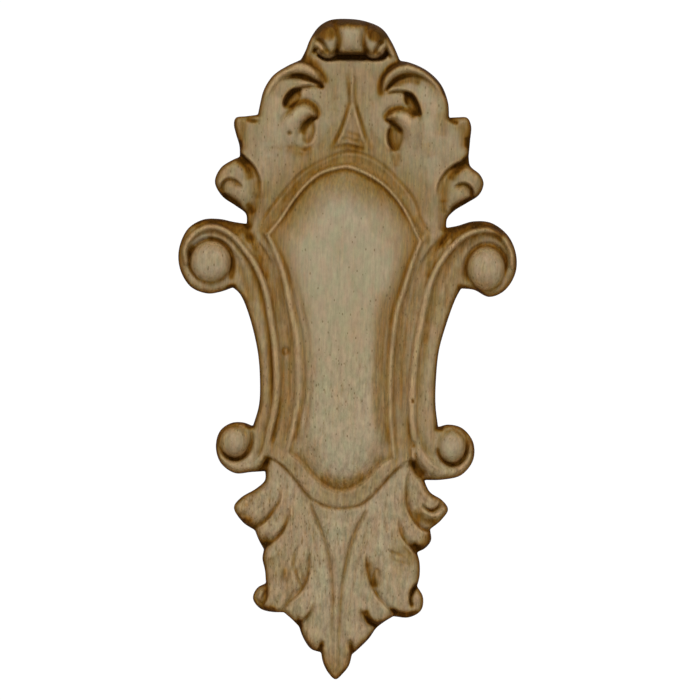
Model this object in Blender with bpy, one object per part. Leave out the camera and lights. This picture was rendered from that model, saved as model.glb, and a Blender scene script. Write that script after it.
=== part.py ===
"""Shield wall plaque: one carved applique with a crest, two scrolled side stems, a domed shield field and a leaf below.

The relief is a height over a front drawing. The drawing has x to the right and y down, in drawing units, and
leans a little, as the piece itself was drawn. UNIT turns it into metres and LEAN stands it upright.
The finished piece stands along +Z with its carved face toward -Y and its flat back in the plane Y = 0.
The origin is the middle of the back, where it is fixed to a wall or a panel."""

import math

import bmesh
import bpy
import numpy as np

# ---------------------------------------------------------------- driving sizes
PLAQUE_HEIGHT = 0.250          # metres, tip of the leaf to the top of the knob
AXIS_TOP = (352.5, 19.2)       # the two ends of the long axis on the drawing
AXIS_TIP = (335.5, 679.0)
SAMPLE = 1.0                   # drawing units between samples of the relief
NODE_EVERY = 2                 # samples between mesh nodes
SOFTEN = 1.2                   # how far the finished relief is worn soft, drawing units
TRIANGLES = 9600               # about this many in the finished solid
# heights above the back, drawing units
WALL = 14.0                    # straight side wall, before the front edge rounds over
EDGE_ROUND = 6.5               # width of that rounding
CREST_GROUND, LEAF_GROUND = 25.0, 25.0
LIP_TOP = 37.0                 # rolled lips of the two upper curls
CURL_BASE, CURL_RISE = 22.0, 15.5   # the curled ends below those lips
STEM_TOP = 34.0                # ridge of the side stems
STEM_CHANNEL = 27.0            # bottom of the channel beside that ridge
BEAD_TOP = 34.5                # moulding round the field
SILL_TOP = 33.0                # flat moulding under the field
FIELD_EDGE, FIELD_RISE, FIELD_CROWN = 31.0, 10.0, 2.0
FIELD_RAMP = (46.0, 24.0, 33.0, 22.0)   # widths of the field's slopes: top, right, bottom, left
SCROLL_BASE, SCROLL_BALL = 23.0, 17.0
FOOT_BASE, FOOT_BALL = 20.0, 15.0
KNOB_BASE, KNOB_RISE = 24.0, 20.0

# ------------------------------------------------------------------ drawing frame
X_LO, X_HI, Y_LO, Y_HI = 170.0, 528.0, 10.0, 690.0


def spline(points, step=1.5, closed=False):
    """Centripetal Catmull-Rom curve through the points, as a polyline with spacing near step."""
    P = [np.array(p[:2], float) for p in points]
    if len(P) == 2:
        n = max(2, int(np.linalg.norm(P[1] - P[0]) / step) + 1)
        return np.linspace(P[0], P[1], n)
    if closed:
        Q = [P[-1]] + P + [P[0], P[1]]
    else:
        Q = [2 * P[0] - P[1]] + P + [2 * P[-1] - P[-2]]
    out = []
    for i in range(1, len(Q) - 2):
        p0, p1, p2, p3 = Q[i - 1], Q[i], Q[i + 1], Q[i + 2]
        t0 = 0.0
        t1 = t0 + max(np.linalg.norm(p1 - p0), 1e-6) ** 0.5
        t2 = t1 + max(np.linalg.norm(p2 - p1), 1e-6) ** 0.5
        t3 = t2 + max(np.linalg.norm(p3 - p2), 1e-6) ** 0.5
        n = max(2, int(np.linalg.norm(p2 - p1) / step) + 1)
        for t in np.linspace(t1, t2, n, endpoint=False):
            a1 = (t1 - t) / (t1 - t0) * p0 + (t - t0) / (t1 - t0) * p1
            a2 = (t2 - t) / (t2 - t1) * p1 + (t - t1) / (t2 - t1) * p2
            a3 = (t3 - t) / (t3 - t2) * p2 + (t - t2) / (t3 - t2) * p3
            b1 = (t2 - t) / (t2 - t0) * a1 + (t - t0) / (t2 - t0) * a2
            b2 = (t3 - t) / (t3 - t1) * a2 + (t - t1) / (t3 - t1) * a3
            out.append((t2 - t) / (t2 - t1) * b1 + (t - t1) / (t2 - t1) * b2)
    if not closed:
        out.append(P[-1])
    return np.array(out)


def chain(*segments, step=1.5):
    """Closed outline of several splines that meet at sharp corners."""
    parts = [spline(s, step)[:-1] for s in segments]
    return np.concatenate(parts)


class Raster:
    """A height map over the drawing, sampled every `step` units."""

    def __init__(self, step):
        self.step = step
        self.nx = int((X_HI - X_LO) / step) + 1
        self.ny = int((Y_HI - Y_LO) / step) + 1
        self.x = X_LO + step * np.arange(self.nx)
        self.y = Y_LO + step * np.arange(self.ny)
        self.X, self.Y = np.meshgrid(self.x, self.y)
        self.H = np.zeros_like(self.X)

    def window(self, x0, x1, y0, y1):
        i0 = max(0, int((x0 - X_LO) / self.step))
        i1 = min(self.nx, int((x1 - X_LO) / self.step) + 2)
        j0 = max(0, int((y0 - Y_LO) / self.step))
        j1 = min(self.ny, int((y1 - Y_LO) / self.step) + 2)
        return slice(j0, j1), slice(i0, i1)

    def distance(self, line, reach, closed=False):
        """(distance, share of the length, side) of every sample to a polyline, within reach. Side is +1 left of
        the direction of travel as seen on the drawing with y down, i.e. the right hand in a y-up view is -1."""
        P = np.asarray(line, float)
        if closed:
            P = np.vstack([P, P[:1]])
        D = np.full(self.X.shape, 1e12)
        T = np.zeros(self.X.shape)
        G = np.zeros(self.X.shape)
        L = np.hypot(*(P[1:] - P[:-1]).T)
        cum = np.concatenate([[0], np.cumsum(L)])
        total = cum[-1]
        for i in range(len(P) - 1):
            a, b = P[i], P[i + 1]
            if L[i] < 1e-9:
                continue
            w = self.window(min(a[0], b[0]) - reach, max(a[0], b[0]) + reach, min(a[1], b[1]) - reach, max(a[1], b[1]) + reach)
            px, py = self.X[w] - a[0], self.Y[w] - a[1]
            bx, by = b - a
            s = np.clip((px * bx + py * by) / L[i] ** 2, 0, 1)
            dd = (px - s * bx) ** 2 + (py - s * by) ** 2
            m = dd < D[w]
            D[w][m] = dd[m]
            T[w][m] = ((cum[i] + s * L[i]) / total)[m]
            G[w][m] = np.sign(px * by - py * bx)[m]
        D = np.sqrt(D)
        D[D > reach] = 1e6
        return D, T, G

    def inside(self, line):
        """Even-odd test of every sample against a closed polyline."""
        P = np.asarray(line, float)
        Q = np.roll(P, -1, axis=0)
        hit = np.zeros(self.X.shape, bool)
        for (x0, y0), (x1, y1) in zip(P, Q):
            if y0 == y1:
                continue
            lo, hi = (y0, y1) if y0 < y1 else (y1, y0)
            j0 = max(0, int(math.ceil((lo - Y_LO) / self.step)))
            j1 = min(self.ny, int(math.ceil((hi - Y_LO) / self.step)))
            if j1 <= j0:
                continue
            xs = x0 + (self.y[j0:j1] - y0) * (x1 - x0) / (y1 - y0)
            hit[j0:j1] ^= self.X[j0:j1] < xs[:, None]
        return hit

    def signed(self, line, reach):
        """Distance to a closed polyline, positive inside and negative outside."""
        D, T, _ = self.distance(line, reach, closed=True)
        D = np.minimum(D, reach)
        return np.where(self.inside(line), D, -D), T


def smooth(u):
    u = np.clip(u, 0, 1)
    return u * u * (3 - 2 * u)


def along(t, values):
    """Interpolates a list of values, or of (share, value) pairs, over the share t of a curve's length."""
    if np.isscalar(values):
        return values
    if np.ndim(values[0]) == 0:
        k = np.linspace(0, 1, len(values))
        v = values
    else:
        k, v = zip(*values)
    return np.interp(t, k, v)


def pillow(u, p=2.0):
    """0 at the edge, rising steeply and flattening to 1 at u = 1."""
    u = np.clip(u, 0, 1)
    return (1 - (1 - u) ** p) ** (1 / p)


def blur(A, sigma):
    """Separable Gaussian blur, sigma in samples."""
    if sigma <= 0:
        return A
    r = max(1, int(3 * sigma + 0.5))
    k = np.exp(-0.5 * (np.arange(-r, r + 1) / sigma) ** 2)
    k /= k.sum()
    out = A
    for axis in (0, 1):
        pad = [(0, 0), (0, 0)]
        pad[axis] = (r, r)
        B = np.pad(out, pad, mode="edge")
        acc = np.zeros_like(A)
        for i, kk in enumerate(k):
            sl = [slice(None), slice(None)]
            sl[axis] = slice(i, i + A.shape[axis])
            acc += kk * B[tuple(sl)]
        out = acc
    return out

# ------------------------------------------------------------------ outline strokes, drawn clockwise from the knob
KNOB = [(301, 60), (306, 50), (309, 42), (314, 33), (320, 26), (330, 20.5), (347, 19.2), (365, 21.5), (382, 29), (392, 43), (400, 61)]
CREST_R = [(400, 61), (410, 63), (427, 71), (441, 85), (448, 103), (449, 118)]
EAR_R = [(449, 118), (458, 117.5), (467, 118), (471, 126), (470, 141), (468.5, 157)]
CURL_R = [(468.5, 157), (470, 166), (480, 175), (483.5, 184), (479, 195), (467, 203), (454, 211), (447, 219), (446, 228)]
SCROLL_R = [(446, 228), (457, 226), (473, 221.5), (491, 223), (508, 236), (516, 255), (515, 274), (504, 291), (489, 297), (474, 290), (461, 288.5)]
WAIST_R = [(461, 288.5), (455, 300), (446, 325), (439, 350), (436, 378), (435.5, 405), (438, 427)]
BALL_R = [(438, 427), (448, 424.5), (462, 428), (473, 442), (473, 460), (461, 475), (443, 479.5), (424, 480)]
LEAF_R1 = [(424, 480), (430, 492), (442, 500), (448, 509), (441, 520), (430, 529)]
LEAF_R2 = [(430, 529), (431, 540), (425, 548), (417, 552)]
LEAF_R3 = [(417, 552), (419.5, 562), (419.5, 576), (417, 586)]
LEAF_R4 = [(417, 586), (423, 597), (421, 610), (409, 617), (393, 616)]
LEAF_R5 = [(393, 616), (382, 623), (376, 628), (369, 638), (359, 648), (352, 654)]
LEAF_TIP = [(352, 654), (349, 665), (343, 673), (335.5, 679), (328, 672), (323, 662), (321, 652)]
LEAF_L5 = [(321, 652), (311, 648.5), (303, 637), (299, 626)]
LEAF_L4 = [(299, 626), (292, 619), (284, 612)]
LEAF_L3 = [(284, 612), (271, 611.5), (260, 608), (253, 598), (257, 588), (266, 583)]
LEAF_L2 = [(266, 583), (265, 570), (262.5, 558), (264, 549)]
LEAF_L1B = [(264, 549), (259, 540), (255, 530)]
LEAF_L1 = [(255, 530), (243, 522), (234, 507), (241, 497.5), (256, 488.5), (265, 480), (265.5, 471)]
BALL_L = [(265.5, 471), (251, 472), (235, 473), (221, 463), (216, 447), (220, 431), (231, 423), (243, 422.3), (253, 426)]
WAIST_L = [(253, 426), (259, 405), (260, 380), (257.5, 350), (248, 312), (240, 294), (233, 287.5)]
SCROLL_L = [(233, 287.5), (220, 292), (207, 293.5), (191, 287), (180.5, 270), (179, 250), (188, 229), (203, 219.8), (219, 219), (234, 222), (247, 224)]
CURL_L = [(247, 224), (246, 214), (236, 206), (222, 196), (215, 182), (221, 168), (232, 160.5), (240, 157)]
EAR_L = [(240, 157), (239.5, 146), (236, 134), (234, 124), (236, 118), (246, 116.5), (258, 115)]
CREST_L = [(258, 115), (260, 105), (264, 90), (273, 76), (286, 67), (301, 60)]
OUTLINE = [KNOB, CREST_R, EAR_R, CURL_R, SCROLL_R, WAIST_R, BALL_R, LEAF_R1, LEAF_R2, LEAF_R3, LEAF_R4, LEAF_R5, LEAF_TIP,
           LEAF_L5, LEAF_L4, LEAF_L3, LEAF_L2, LEAF_L1B, LEAF_L1, BALL_L, WAIST_L, SCROLL_L, CURL_L, EAR_L, CREST_L]

# ------------------------------------------------------------------ frame rails
ARCH_OUT = [(257, 232), (262, 222), (275, 203), (288, 187), (301, 173), (318, 163), (338, 154), (352, 152), (368, 156), (383, 165), (399, 181), (413, 198), (420, 217), (429, 234), (430.5, 243)]
ARCH_BEAD = [(268, 235.5), (282, 218.5), (293, 202), (306, 186), (321, 174), (338, 168.5), (347, 167.5), (361, 172), (380, 183), (395, 198), (407, 216), (420, 242)]
BEAD_L = [(268, 235.5), (275, 250), (284, 275), (290.5, 305), (297, 335), (299, 365), (299, 395), (295, 420), (287.5, 450)]
BEAD_R = [(420, 242), (411, 266), (404, 288), (397, 310), (392, 345), (390, 375), (390, 410), (391.5, 435), (394, 457)]
SILL_IN = [(287.5, 450), (301, 461.5), (316, 478.5), (330, 488), (342, 490.5), (356, 486), (370, 475), (381, 463.5), (394, 457)]
SILL_OUT = [(269, 456), (282, 464.5), (296, 480), (311, 498), (326, 506), (342, 508), (358, 505), (372, 495), (389, 476), (402, 464.5), (413, 460)]
STEM_L = [(186, 262), (184.5, 250), (190, 239), (202, 229.5), (214, 227), (230, 234), (245, 250), (257, 268), (265, 288), (271, 318), (275.5, 350), (277, 380), (275, 408), (270, 430), (265.5, 448), (259, 463)]
STEM_R = [(513, 266), (512, 253), (504, 239), (494, 232), (485, 230), (470, 233.5), (457, 242), (443, 258), (433, 276), (425.5, 300), (418, 338), (413.5, 372), (412, 402), (413, 430), (418, 447), (427, 461), (437, 470)]


# ------------------------------------------------------------------ the curled ends below the lips of the crest
CURL_END_L = [(284, 114), (289, 108.8), (296, 103.4), (304, 100.4), (311.5, 103), (316.8, 108.6), (318.8, 115), (317, 119.5), (311, 120.5), (306.5, 123.5),
              (303, 128), (300.5, 135), (298, 148), (280, 150), (276, 127)]
CURL_END_R = [(422, 114.5), (414, 113.2), (407, 109.2), (400, 107.8), (393, 109.2), (388, 113), (384.5, 118.5), (386.5, 121.5), (392, 122.5), (397, 127), (401, 132.5),
              (402.5, 140), (402, 150), (418, 150), (425, 130)]

# ------------------------------------------------------------------ the two lines beside the leaf's stem
LEAF_LINES = ([(309, 497), (313, 510), (320, 526), (326, 543), (330, 562), (332, 580), (332.6, 600), (331.6, 625), (331.4, 654)],
              [(367, 509), (358, 525), (351.5, 541), (346.5, 560), (343, 578), (341, 598), (340, 625), (339.7, 657)])


def taper(t, ends):
    a, b = ends
    w = np.ones_like(t)
    if a > 0:
        w = w * smooth(t / a)
    if b > 0:
        w = w * smooth((1 - t) / b)
    return w


class Carving(Raster):
    def groove(self, pts, depth, half, ends=(0.15, 0.15), where=None):
        D, T, _ = self.distance(spline(pts), 1.01 * np.max(half))
        u = np.clip(D / along(T, half), 0, 1)
        self.H -= along(T, depth) * taper(T, ends) * (1 - u * u) ** 2 * (1 if where is None else where)

    def ridge(self, pts, height, half, ends=(0.15, 0.15), where=None):
        self.groove(pts, -np.asarray(height) if not np.isscalar(height) else -height, half, ends, where)

    def edge(self, pts, drop, low, lift=0.0, high=5.0, side=1, ends=(0.12, 0.12), where=None):
        """An overlapping edge. The ground on `side` is cut down by `drop` at the line and comes back over `low`.
        The other side is raised by `lift` and falls back over `high`."""
        reach = 1.01 * max(np.max(low), np.max(high))
        D, T, G = self.distance(spline(pts), reach)
        w = taper(T, ends)
        if where is not None:
            w = w * where
        below = (G * side > 0)
        u = np.clip(D / along(T, low), 0, 1)
        v = np.clip(D / along(T, high), 0, 1)
        self.H -= np.where(below, along(T, drop) * w * (1 - smooth(u)), 0)
        self.H += np.where(~below, along(T, lift) * w * (1 - smooth(v)), 0)

    def ball(self, cx, cy, rx, ry, base, height, angle=0.0):
        c, s = math.cos(math.radians(angle)), math.sin(math.radians(angle))
        dx, dy = self.X - cx, self.Y - cy
        r2 = ((dx * c + dy * s) / rx) ** 2 + ((-dx * s + dy * c) / ry) ** 2
        top = base + height * np.sqrt(np.clip(1 - r2, 0, 1))
        self.H = np.where(r2 < 1, np.maximum(self.H, top), self.H)

    def flutes(self, a, b, count, depth, half, ends=(0.3, 0.3), where=None):
        """Shallow hollows side by side between two lines, each a little different."""
        A, B = (spline(p)[np.linspace(0, len(spline(p)) - 1, 9).astype(int)] for p in (a, b))
        for k in range(1, count + 1):
            u = (k + 0.22 * math.sin(5.1 * k)) / (count + 1)
            self.groove(A * (1 - u) + B * u, depth * (1 + 0.45 * math.sin(2.4 * k)), half * (1 + 0.25 * math.cos(1.7 * k)), ends, where)

    def mound(self, cx, cy, rx, ry, height, angle=0.0, power=2.0, where=None):
        c, s = math.cos(math.radians(angle)), math.sin(math.radians(angle))
        dx, dy = self.X - cx, self.Y - cy
        r2 = ((dx * c + dy * s) / rx) ** 2 + ((-dx * s + dy * c) / ry) ** 2
        self.H += height * np.clip(1 - r2, 0, 1) ** power * (1 if where is None else where)

    def tube(self, pts, half, top, belly=1.0, flat=2.0, ends=(0, 0)):
        """A roll along a line: `top` is its crest height, `belly` how far its flanks fall at `half` from the line."""
        D, T, _ = self.distance(spline(pts), 1.01 * np.max(half))
        h = along(T, half)
        u = np.clip(D / h, 0, 1)
        z = along(T, top) - along(T, belly) * (1 - (1 - u ** flat) ** (1 / flat))
        if ends[0] or ends[1]:
            z = z - along(T, belly) * (1 - taper(T, ends))
        self.H = np.where(D < h, np.maximum(self.H, z), self.H)

    def strip(self, a, b, ha, hb, bulge=0.0, mode="set"):
        """The surface between two rails: ha at rail a, hb at rail b, `bulge` above the straight line between them."""
        A, B = spline(a), spline(b)
        mask = self.inside(np.vstack([A, B[::-1]]))
        DA, TA, _ = self.distance(A, 60)
        DB, TB, _ = self.distance(B, 60)
        u = DA / (DA + DB + 1e-9)
        z = along(TA, ha) * (1 - u) + along(TB, hb) * u + along(TA, bulge) * 4 * u * (1 - u)
        if mode == "set":
            self.H = np.where(mask, z, self.H)
        else:
            self.H = np.where(mask, np.maximum(self.H, z), self.H)

    def between(self, a, b, soft):
        """1 between two rails and 0 outside, over a band `soft` wide."""
        S, _ = self.signed(np.vstack([spline(a), spline(b)[::-1]]), 3 * soft)
        return smooth(0.5 + S / (2 * soft))

    def soften(self, cx, cy, rx, ry, sigma, angle=0.0):
        """Wears the relief soft round a point."""
        c, q = math.cos(math.radians(angle)), math.sin(math.radians(angle))
        w = self.window(cx - rx - ry - 3 * sigma, cx + rx + ry + 3 * sigma, cy - rx - ry - 3 * sigma, cy + rx + ry + 3 * sigma)
        dx, dy = self.X[w] - cx, self.Y[w] - cy
        r2 = ((dx * c + dy * q) / rx) ** 2 + ((-dx * q + dy * c) / ry) ** 2
        m = smooth(1.6 * (1 - r2))
        self.H[w] = self.H[w] * (1 - m) + blur(self.H[w], sigma / self.step) * m

    def pit(self, loop, depth, wall, closed_line=True, step=1.5):
        """A hollow with walls `wall` wide inside a closed loop."""
        S, _ = self.signed(spline(loop, step, closed=True), 1.05 * max(wall, 4) + 4)
        self.H -= depth * pillow(S / wall)

    def raise_(self, loop, height, wall):
        self.pit(loop, -height, wall)


def side_of(pts, point):
    """+1 or -1, the side of the line on which the point lies."""
    P = spline(pts)
    a, b = P[:-1], P[1:]
    p = np.array(point, float)
    L2 = ((b - a) ** 2).sum(1) + 1e-12
    s = np.clip(((p - a) * (b - a)).sum(1) / L2, 0, 1)
    d = ((p - a - s[:, None] * (b - a)) ** 2).sum(1)
    i = int(np.argmin(d))
    v, w = p - a[i], b[i] - a[i]
    return 1 if v[0] * w[1] - v[1] * w[0] > 0 else -1


def step(R, pts, low_at, drop, low, lift=0.0, high=5.0, ends=(0.12, 0.12), where=None):
    R.edge(pts, drop, low, lift, high, side_of(pts, low_at), ends, where)


def carve(stp):
    R = Carving(stp)
    X, Y = R.X, R.Y
    outline = np.concatenate([spline(s)[:-1] for s in OUTLINE])
    R.outline = outline
    S, _ = R.signed(outline, 40)
    R.S = S

    # ---------------------------------------------------------------- ground of crest and leaf
    crest = CREST_GROUND + 4 * np.clip(1 - ((X - 352) / 120) ** 2 - ((Y - 150) / 120) ** 2, 0, 1)
    leaf = LEAF_GROUND + 5 * np.clip(1 - ((X - 337) / 90) ** 2, 0, 1) * smooth((690 - Y) / 90)
    R.H = np.where(Y < 350, crest, leaf)

    # ---------------------------------------------------------------- left and right upper curls
    # body of the curl leaf
    R.mound(282, 112, 46, 66, 5.0)
    R.mound(428, 112, 42, 66, 5.0)
    R.mound(262, 170, 60, 70, 2.0)
    # second lobe and the drop inside it
    L2 = [(326, 88), (318, 86.5), (309, 86), (300, 87.5), (292, 90.5), (286, 98), (283.5, 106), (287, 110.5)]
    step(R, L2, (305, 95), [3, 4.4, 5, 6, 6.5, 6, 4], [3.4, 4.4, 6, 8, 9, 8, 6], 1.5, 6, ends=(0.1, 0.1))
    L2R = [(384, 95), (391, 92), (400, 91), (407, 92), (412, 95), (417, 103), (420, 112), (420.5, 121)]
    step(R, L2R, (400, 100), [3, 4.4, 5, 6, 6.5, 6.5, 6, 4], [3.4, 4.4, 6, 8, 8.5, 8, 6, 5], 1.5, 6, ends=(0.1, 0.1))
    # lips
    R.tube([(262, 114), (264, 100), (269, 87.5), (278, 76.8), (289, 71), (300, 68.8), (310.5, 71.4), (319, 77.6), (325.3, 86)],
           [3, 4, 5, 5.6, 5.8, 5.8, 5.6, 5, 3.2], [29, 31, 33.5, 35.5, LIP_TOP, LIP_TOP, 36, 34, 29], [3, 4, 6, 8, 9, 10, 10, 8, 5])
    R.tube([(446, 112), (444.5, 98), (439, 87), (431, 78), (421, 71.5), (410, 68.5), (400, 70), (391, 75), (385, 82.5), (382.5, 93)],
           [3, 3.5, 4, 4.5, 5, 5.2, 5.2, 5, 4.2, 3], [29, 31, 32.5, 34, 36, LIP_TOP, LIP_TOP, 36, 34, 29], [3, 4, 5, 6, 8, 9, 10, 10, 8, 5])
    R.groove([(268, 90), (274, 82.5), (282, 78.2), (291, 76.2), (300, 76.6), (308, 79.4), (316, 83), (325, 89)], [1, 2.2, 3.4, 4.6, 5.4, 5.8, 5.4, 3.8], [4, 4.6, 4.8, 4.9, 5.0, 4.9, 4.2, 2.8], ends=(0.3, 0.05))
    R.groove([(385, 94), (388.6, 87.4), (395, 81), (403, 77.2), (412, 75.8), (421, 78.6), (429, 85), (436, 95), (439, 108)], [4.2, 5.0, 4.2, 3.2, 2.6, 2.0, 1.6, 1.2, 0.8], [2.6, 3.2, 3.4, 3.5, 3.5, 3.8, 4.0, 4.0, 4], ends=(0.05, 0.35))
    R.groove([(398, 85), (406, 82.6), (415, 83), (424, 88)], [0.8, 1.4, 1.4, 0.8], 2.2, ends=(0.3, 0.3))
    R.groove([(405, 79.6), (413, 79.8), (420, 83.5), (426, 90)], 0.8, 1.7, ends=(0.3, 0.3))
    R.ridge([(283, 84.5), (295, 83.2), (305, 83), (313, 85), (319, 87)], [0.8, 1.8, 2, 1.6, 1], 2.4, ends=(0.3, 0.2))
    R.ridge([(386, 93), (391, 90.2), (399, 88.5), (406, 89.3)], [1, 1.8, 1.8, 0.8], 2.4, ends=(0.1, 0.3))
    # holes
    R.pit([(300.5, 87.8), (292, 90.4), (286, 96.8), (282.8, 105), (285, 110.5), (291.5, 107.4), (297.5, 103), (301, 99.5)], 4.6, 2.8)
    R.pit([(404.2, 91.8), (411, 93.6), (416.6, 100.2), (420, 108.5), (421.8, 117), (420.6, 122.5), (415, 116), (410.5, 110.4), (406.2, 106.6), (404, 100)], 4.6, 2.8)
    # curled tips
    R.groove([(286, 111), (289.5, 107.6), (296, 102.3), (304.5, 99.4), (312.5, 101.8), (318.6, 108), (320.4, 115), (318.6, 120.5)], [0.8, 1.2, 1.6, 1.8, 2, 2.4, 2.6, 1.4], 2.6, ends=(0.2, 0.1))
    Sx, _ = R.signed(spline(CURL_END_L, closed=True), 16)
    m = smooth((152 - Y) / 34) * smooth((X - 272) / 16)
    R.H = np.where(Sx > 0, R.H * (1 - m) + np.maximum(R.H - 2, CURL_BASE + CURL_RISE * pillow(Sx / 11.5, 1.8)) * m, R.H)
    R.groove([(384.6, 122.6), (383.2, 118), (386.5, 111.3), (392, 107.6), (400, 106.4), (408, 108), (414, 111.8), (418, 118)], [1.6, 2.6, 2.4, 2, 1.8, 1.6, 1.2, 0.8], 2.6, ends=(0.1, 0.2))
    Sx, _ = R.signed(spline(CURL_END_R, closed=True), 16)
    m = smooth((154 - Y) / 30) * smooth((426 - X) / 12)
    R.H = np.where(Sx > 0, R.H * (1 - m) + np.maximum(R.H - 2, CURL_BASE + CURL_RISE * pillow(Sx / 11.5, 1.8)) * m, R.H)
    # eyes below the curled tips
    R.pit([(314, 121), (314.6, 129), (312.8, 137), (308.8, 144), (304.5, 144.5), (302, 138), (302.6, 131), (307, 125)], 3.4, 3.6)
    R.pit([(391, 124), (397, 127), (401.8, 132.5), (403, 140), (400.6, 147), (395.5, 153.5), (391, 149.5), (387.6, 142), (388, 132)], 5.0, 3.2)
    R.groove([(318.5, 117.5), (312.5, 120), (307, 124), (303.2, 129.5), (301.8, 136.5)], [4, 5, 4.8, 3.8, 1.8], [2.6, 3.5, 4.3, 4.3, 3.6], ends=(0.04, 0.3))
    R.groove([(384.8, 120), (390, 123), (396, 126.6), (400.6, 131.5), (402.6, 139)], [4, 5, 4.6, 3.4, 1.4], [2.4, 2.8, 3.2, 3.4, 3.0], ends=(0.04, 0.3))
    R.groove([(313.2, 124.5), (314, 131), (312, 138), (308, 144.8)], [1.4, 2.4, 2.2, 1], 1.9, ends=(0.15, 0.2))
    R.groove([(390.6, 127.5), (388.4, 135), (389.4, 143.5), (394, 151.4)], [1.6, 3.4, 3.2, 1.8], 2.3, ends=(0.15, 0.15))
    R.ridge([(309.4, 128), (309, 134), (306.6, 140.5)], 1.5, 2.0, ends=(0.2, 0.25))
    R.ridge([(394.6, 131), (394.2, 138), (395.8, 146)], 1.5, 2.4, ends=(0.2, 0.25))
    R.ridge([(317, 122), (317.4, 131), (315, 139.5), (310.4, 147.5)], 1.3, 2.3, ends=(0.2, 0.2))
    R.ridge([(386.6, 127), (384.9, 136), (386.3, 145), (391, 153)], 1.3, 2.3, ends=(0.2, 0.2))
    R.groove([(292, 143), (297, 147), (304, 150), (311, 148), (316, 143)], [0.8, 1.6, 2, 1.6, 0.8], 2.6, ends=(0.25, 0.25))
    R.groove([(281, 149), (288, 147.5), (296, 150), (302, 154.5), (310, 154)], [0.8, 1.4, 1.6, 1.4, 0.6], 2.0, ends=(0.3, 0.3))
    R.groove([(268, 149.5), (275, 148), (283, 151.5)], 0.9, 2.0)
    R.groove([(301, 143.5), (305, 148.5), (304, 154)], 1.4, 1.8)
    R.ridge([(289, 146), (297, 151.5), (306, 153)], 1.0, 2.2, ends=(0.3, 0.3))
    R.pit([(287.8, 132), (291.6, 132.3), (291.8, 135.6), (288.2, 135.8)], 4.6, 1.7)
    R.ridge([(395, 149), (395.5, 157), (396.5, 165)], 1.6, 2.6, ends=(0.1, 0.5))
    R.groove([(391.5, 149), (392, 157), (393, 166)], 1.6, 2.5, ends=(0.2, 0.5))
    R.groove([(399.5, 148), (399.5, 157), (400, 166)], 1.8, 2.8, ends=(0.2, 0.5))

    # ---------------------------------------------------------------- centre rib of the crest
    R.ridge([(352.3, 62), (352.3, 80), (352.1, 104)], [1.5, 3, 3], 2.9, ends=(0.2, 0.05))
    R.groove([(346, 71), (347.9, 82), (349.2, 94), (349.3, 104), (346.3, 115), (342.2, 127), (336.8, 139), (329.5, 151)], [1.4, 2.6, 3.4, 3.6, 3.4, 3, 2.6, 1.4], [1.9, 2.0, 2.0, 2.2, 2.6, 3.1, 3.6, 3.8], ends=(0.1, 0.15))
    R.groove([(355.9, 74), (355.3, 88), (355.2, 102), (357.8, 112), (361.3, 123), (364.8, 134), (368.8, 146)], [1.0, 2.2, 3, 3.4, 3.4, 2.8, 1.4], [1.9, 2.0, 2.1, 2.2, 2.4, 2.6, 2.8], ends=(0.1, 0.15))
    R.ridge([(351.2, 103), (349.2, 114), (345.6, 126), (340.4, 138), (333.5, 149)], 2.2, 2.4, ends=(0.1, 0.2))
    R.ridge([(353.2, 103), (354.9, 113), (358.0, 124), (361.2, 134.5), (365.6, 146)], 2.2, 2.4, ends=(0.1, 0.2))
    R.groove([(346, 131), (351, 134), (356, 134.5), (360, 139)], 1.5, 1.9)
    R.groove([(341, 141.5), (347, 138.5), (353, 141), (359, 141.5), (364, 146)], 1.8, 2.0)
    R.groove([(333, 150), (341, 146), (349, 145.5), (357, 148), (366, 150)], 2.2, 2.3)
    R.ridge([(338, 147.5), (346, 143), (354, 144), (361, 147)], 1.0, 1.8)
    R.groove([(331, 100), (338, 99), (344, 101)], 0.7, 1.6)
    R.groove([(326, 112), (333, 110), (341, 113)], 0.7, 1.7)
    R.groove([(362, 92), (366, 99), (367, 109)], 0.7, 1.8)
    R.groove([(371, 100), (375, 112), (376, 124)], 0.7, 2.2)
    R.groove([(336, 118), (331, 130), (324, 143), (316, 153)], [0.8, 1.6, 1.8, 1], 6, ends=(0.3, 0.2))
    R.groove([(368, 122), (373, 134), (379, 145), (386, 154)], [0.8, 1.4, 1.4, 0.8], 5, ends=(0.3, 0.2))

    # ---------------------------------------------------------------- ears
    R.groove([(244, 117), (243.5, 127), (242, 137), (243, 147)], [3, 2.6, 2, 1], 4.5, ends=(0.0, 0.3))
    R.groove([(246, 119), (252, 121.5), (262, 121)], 4.5, 3.0, ends=(0.1, 0.35))
    R.groove([(239, 141), (241, 147)], 3, 2.6, ends=(0.2, 0.2))
    R.groove([(448, 119), (454, 123), (459, 123)], 5, 3.2, ends=(0.1, 0.3))
    R.groove([(466.5, 138), (466.5, 148)], 4, 3.0, ends=(0.2, 0.2))

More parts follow.
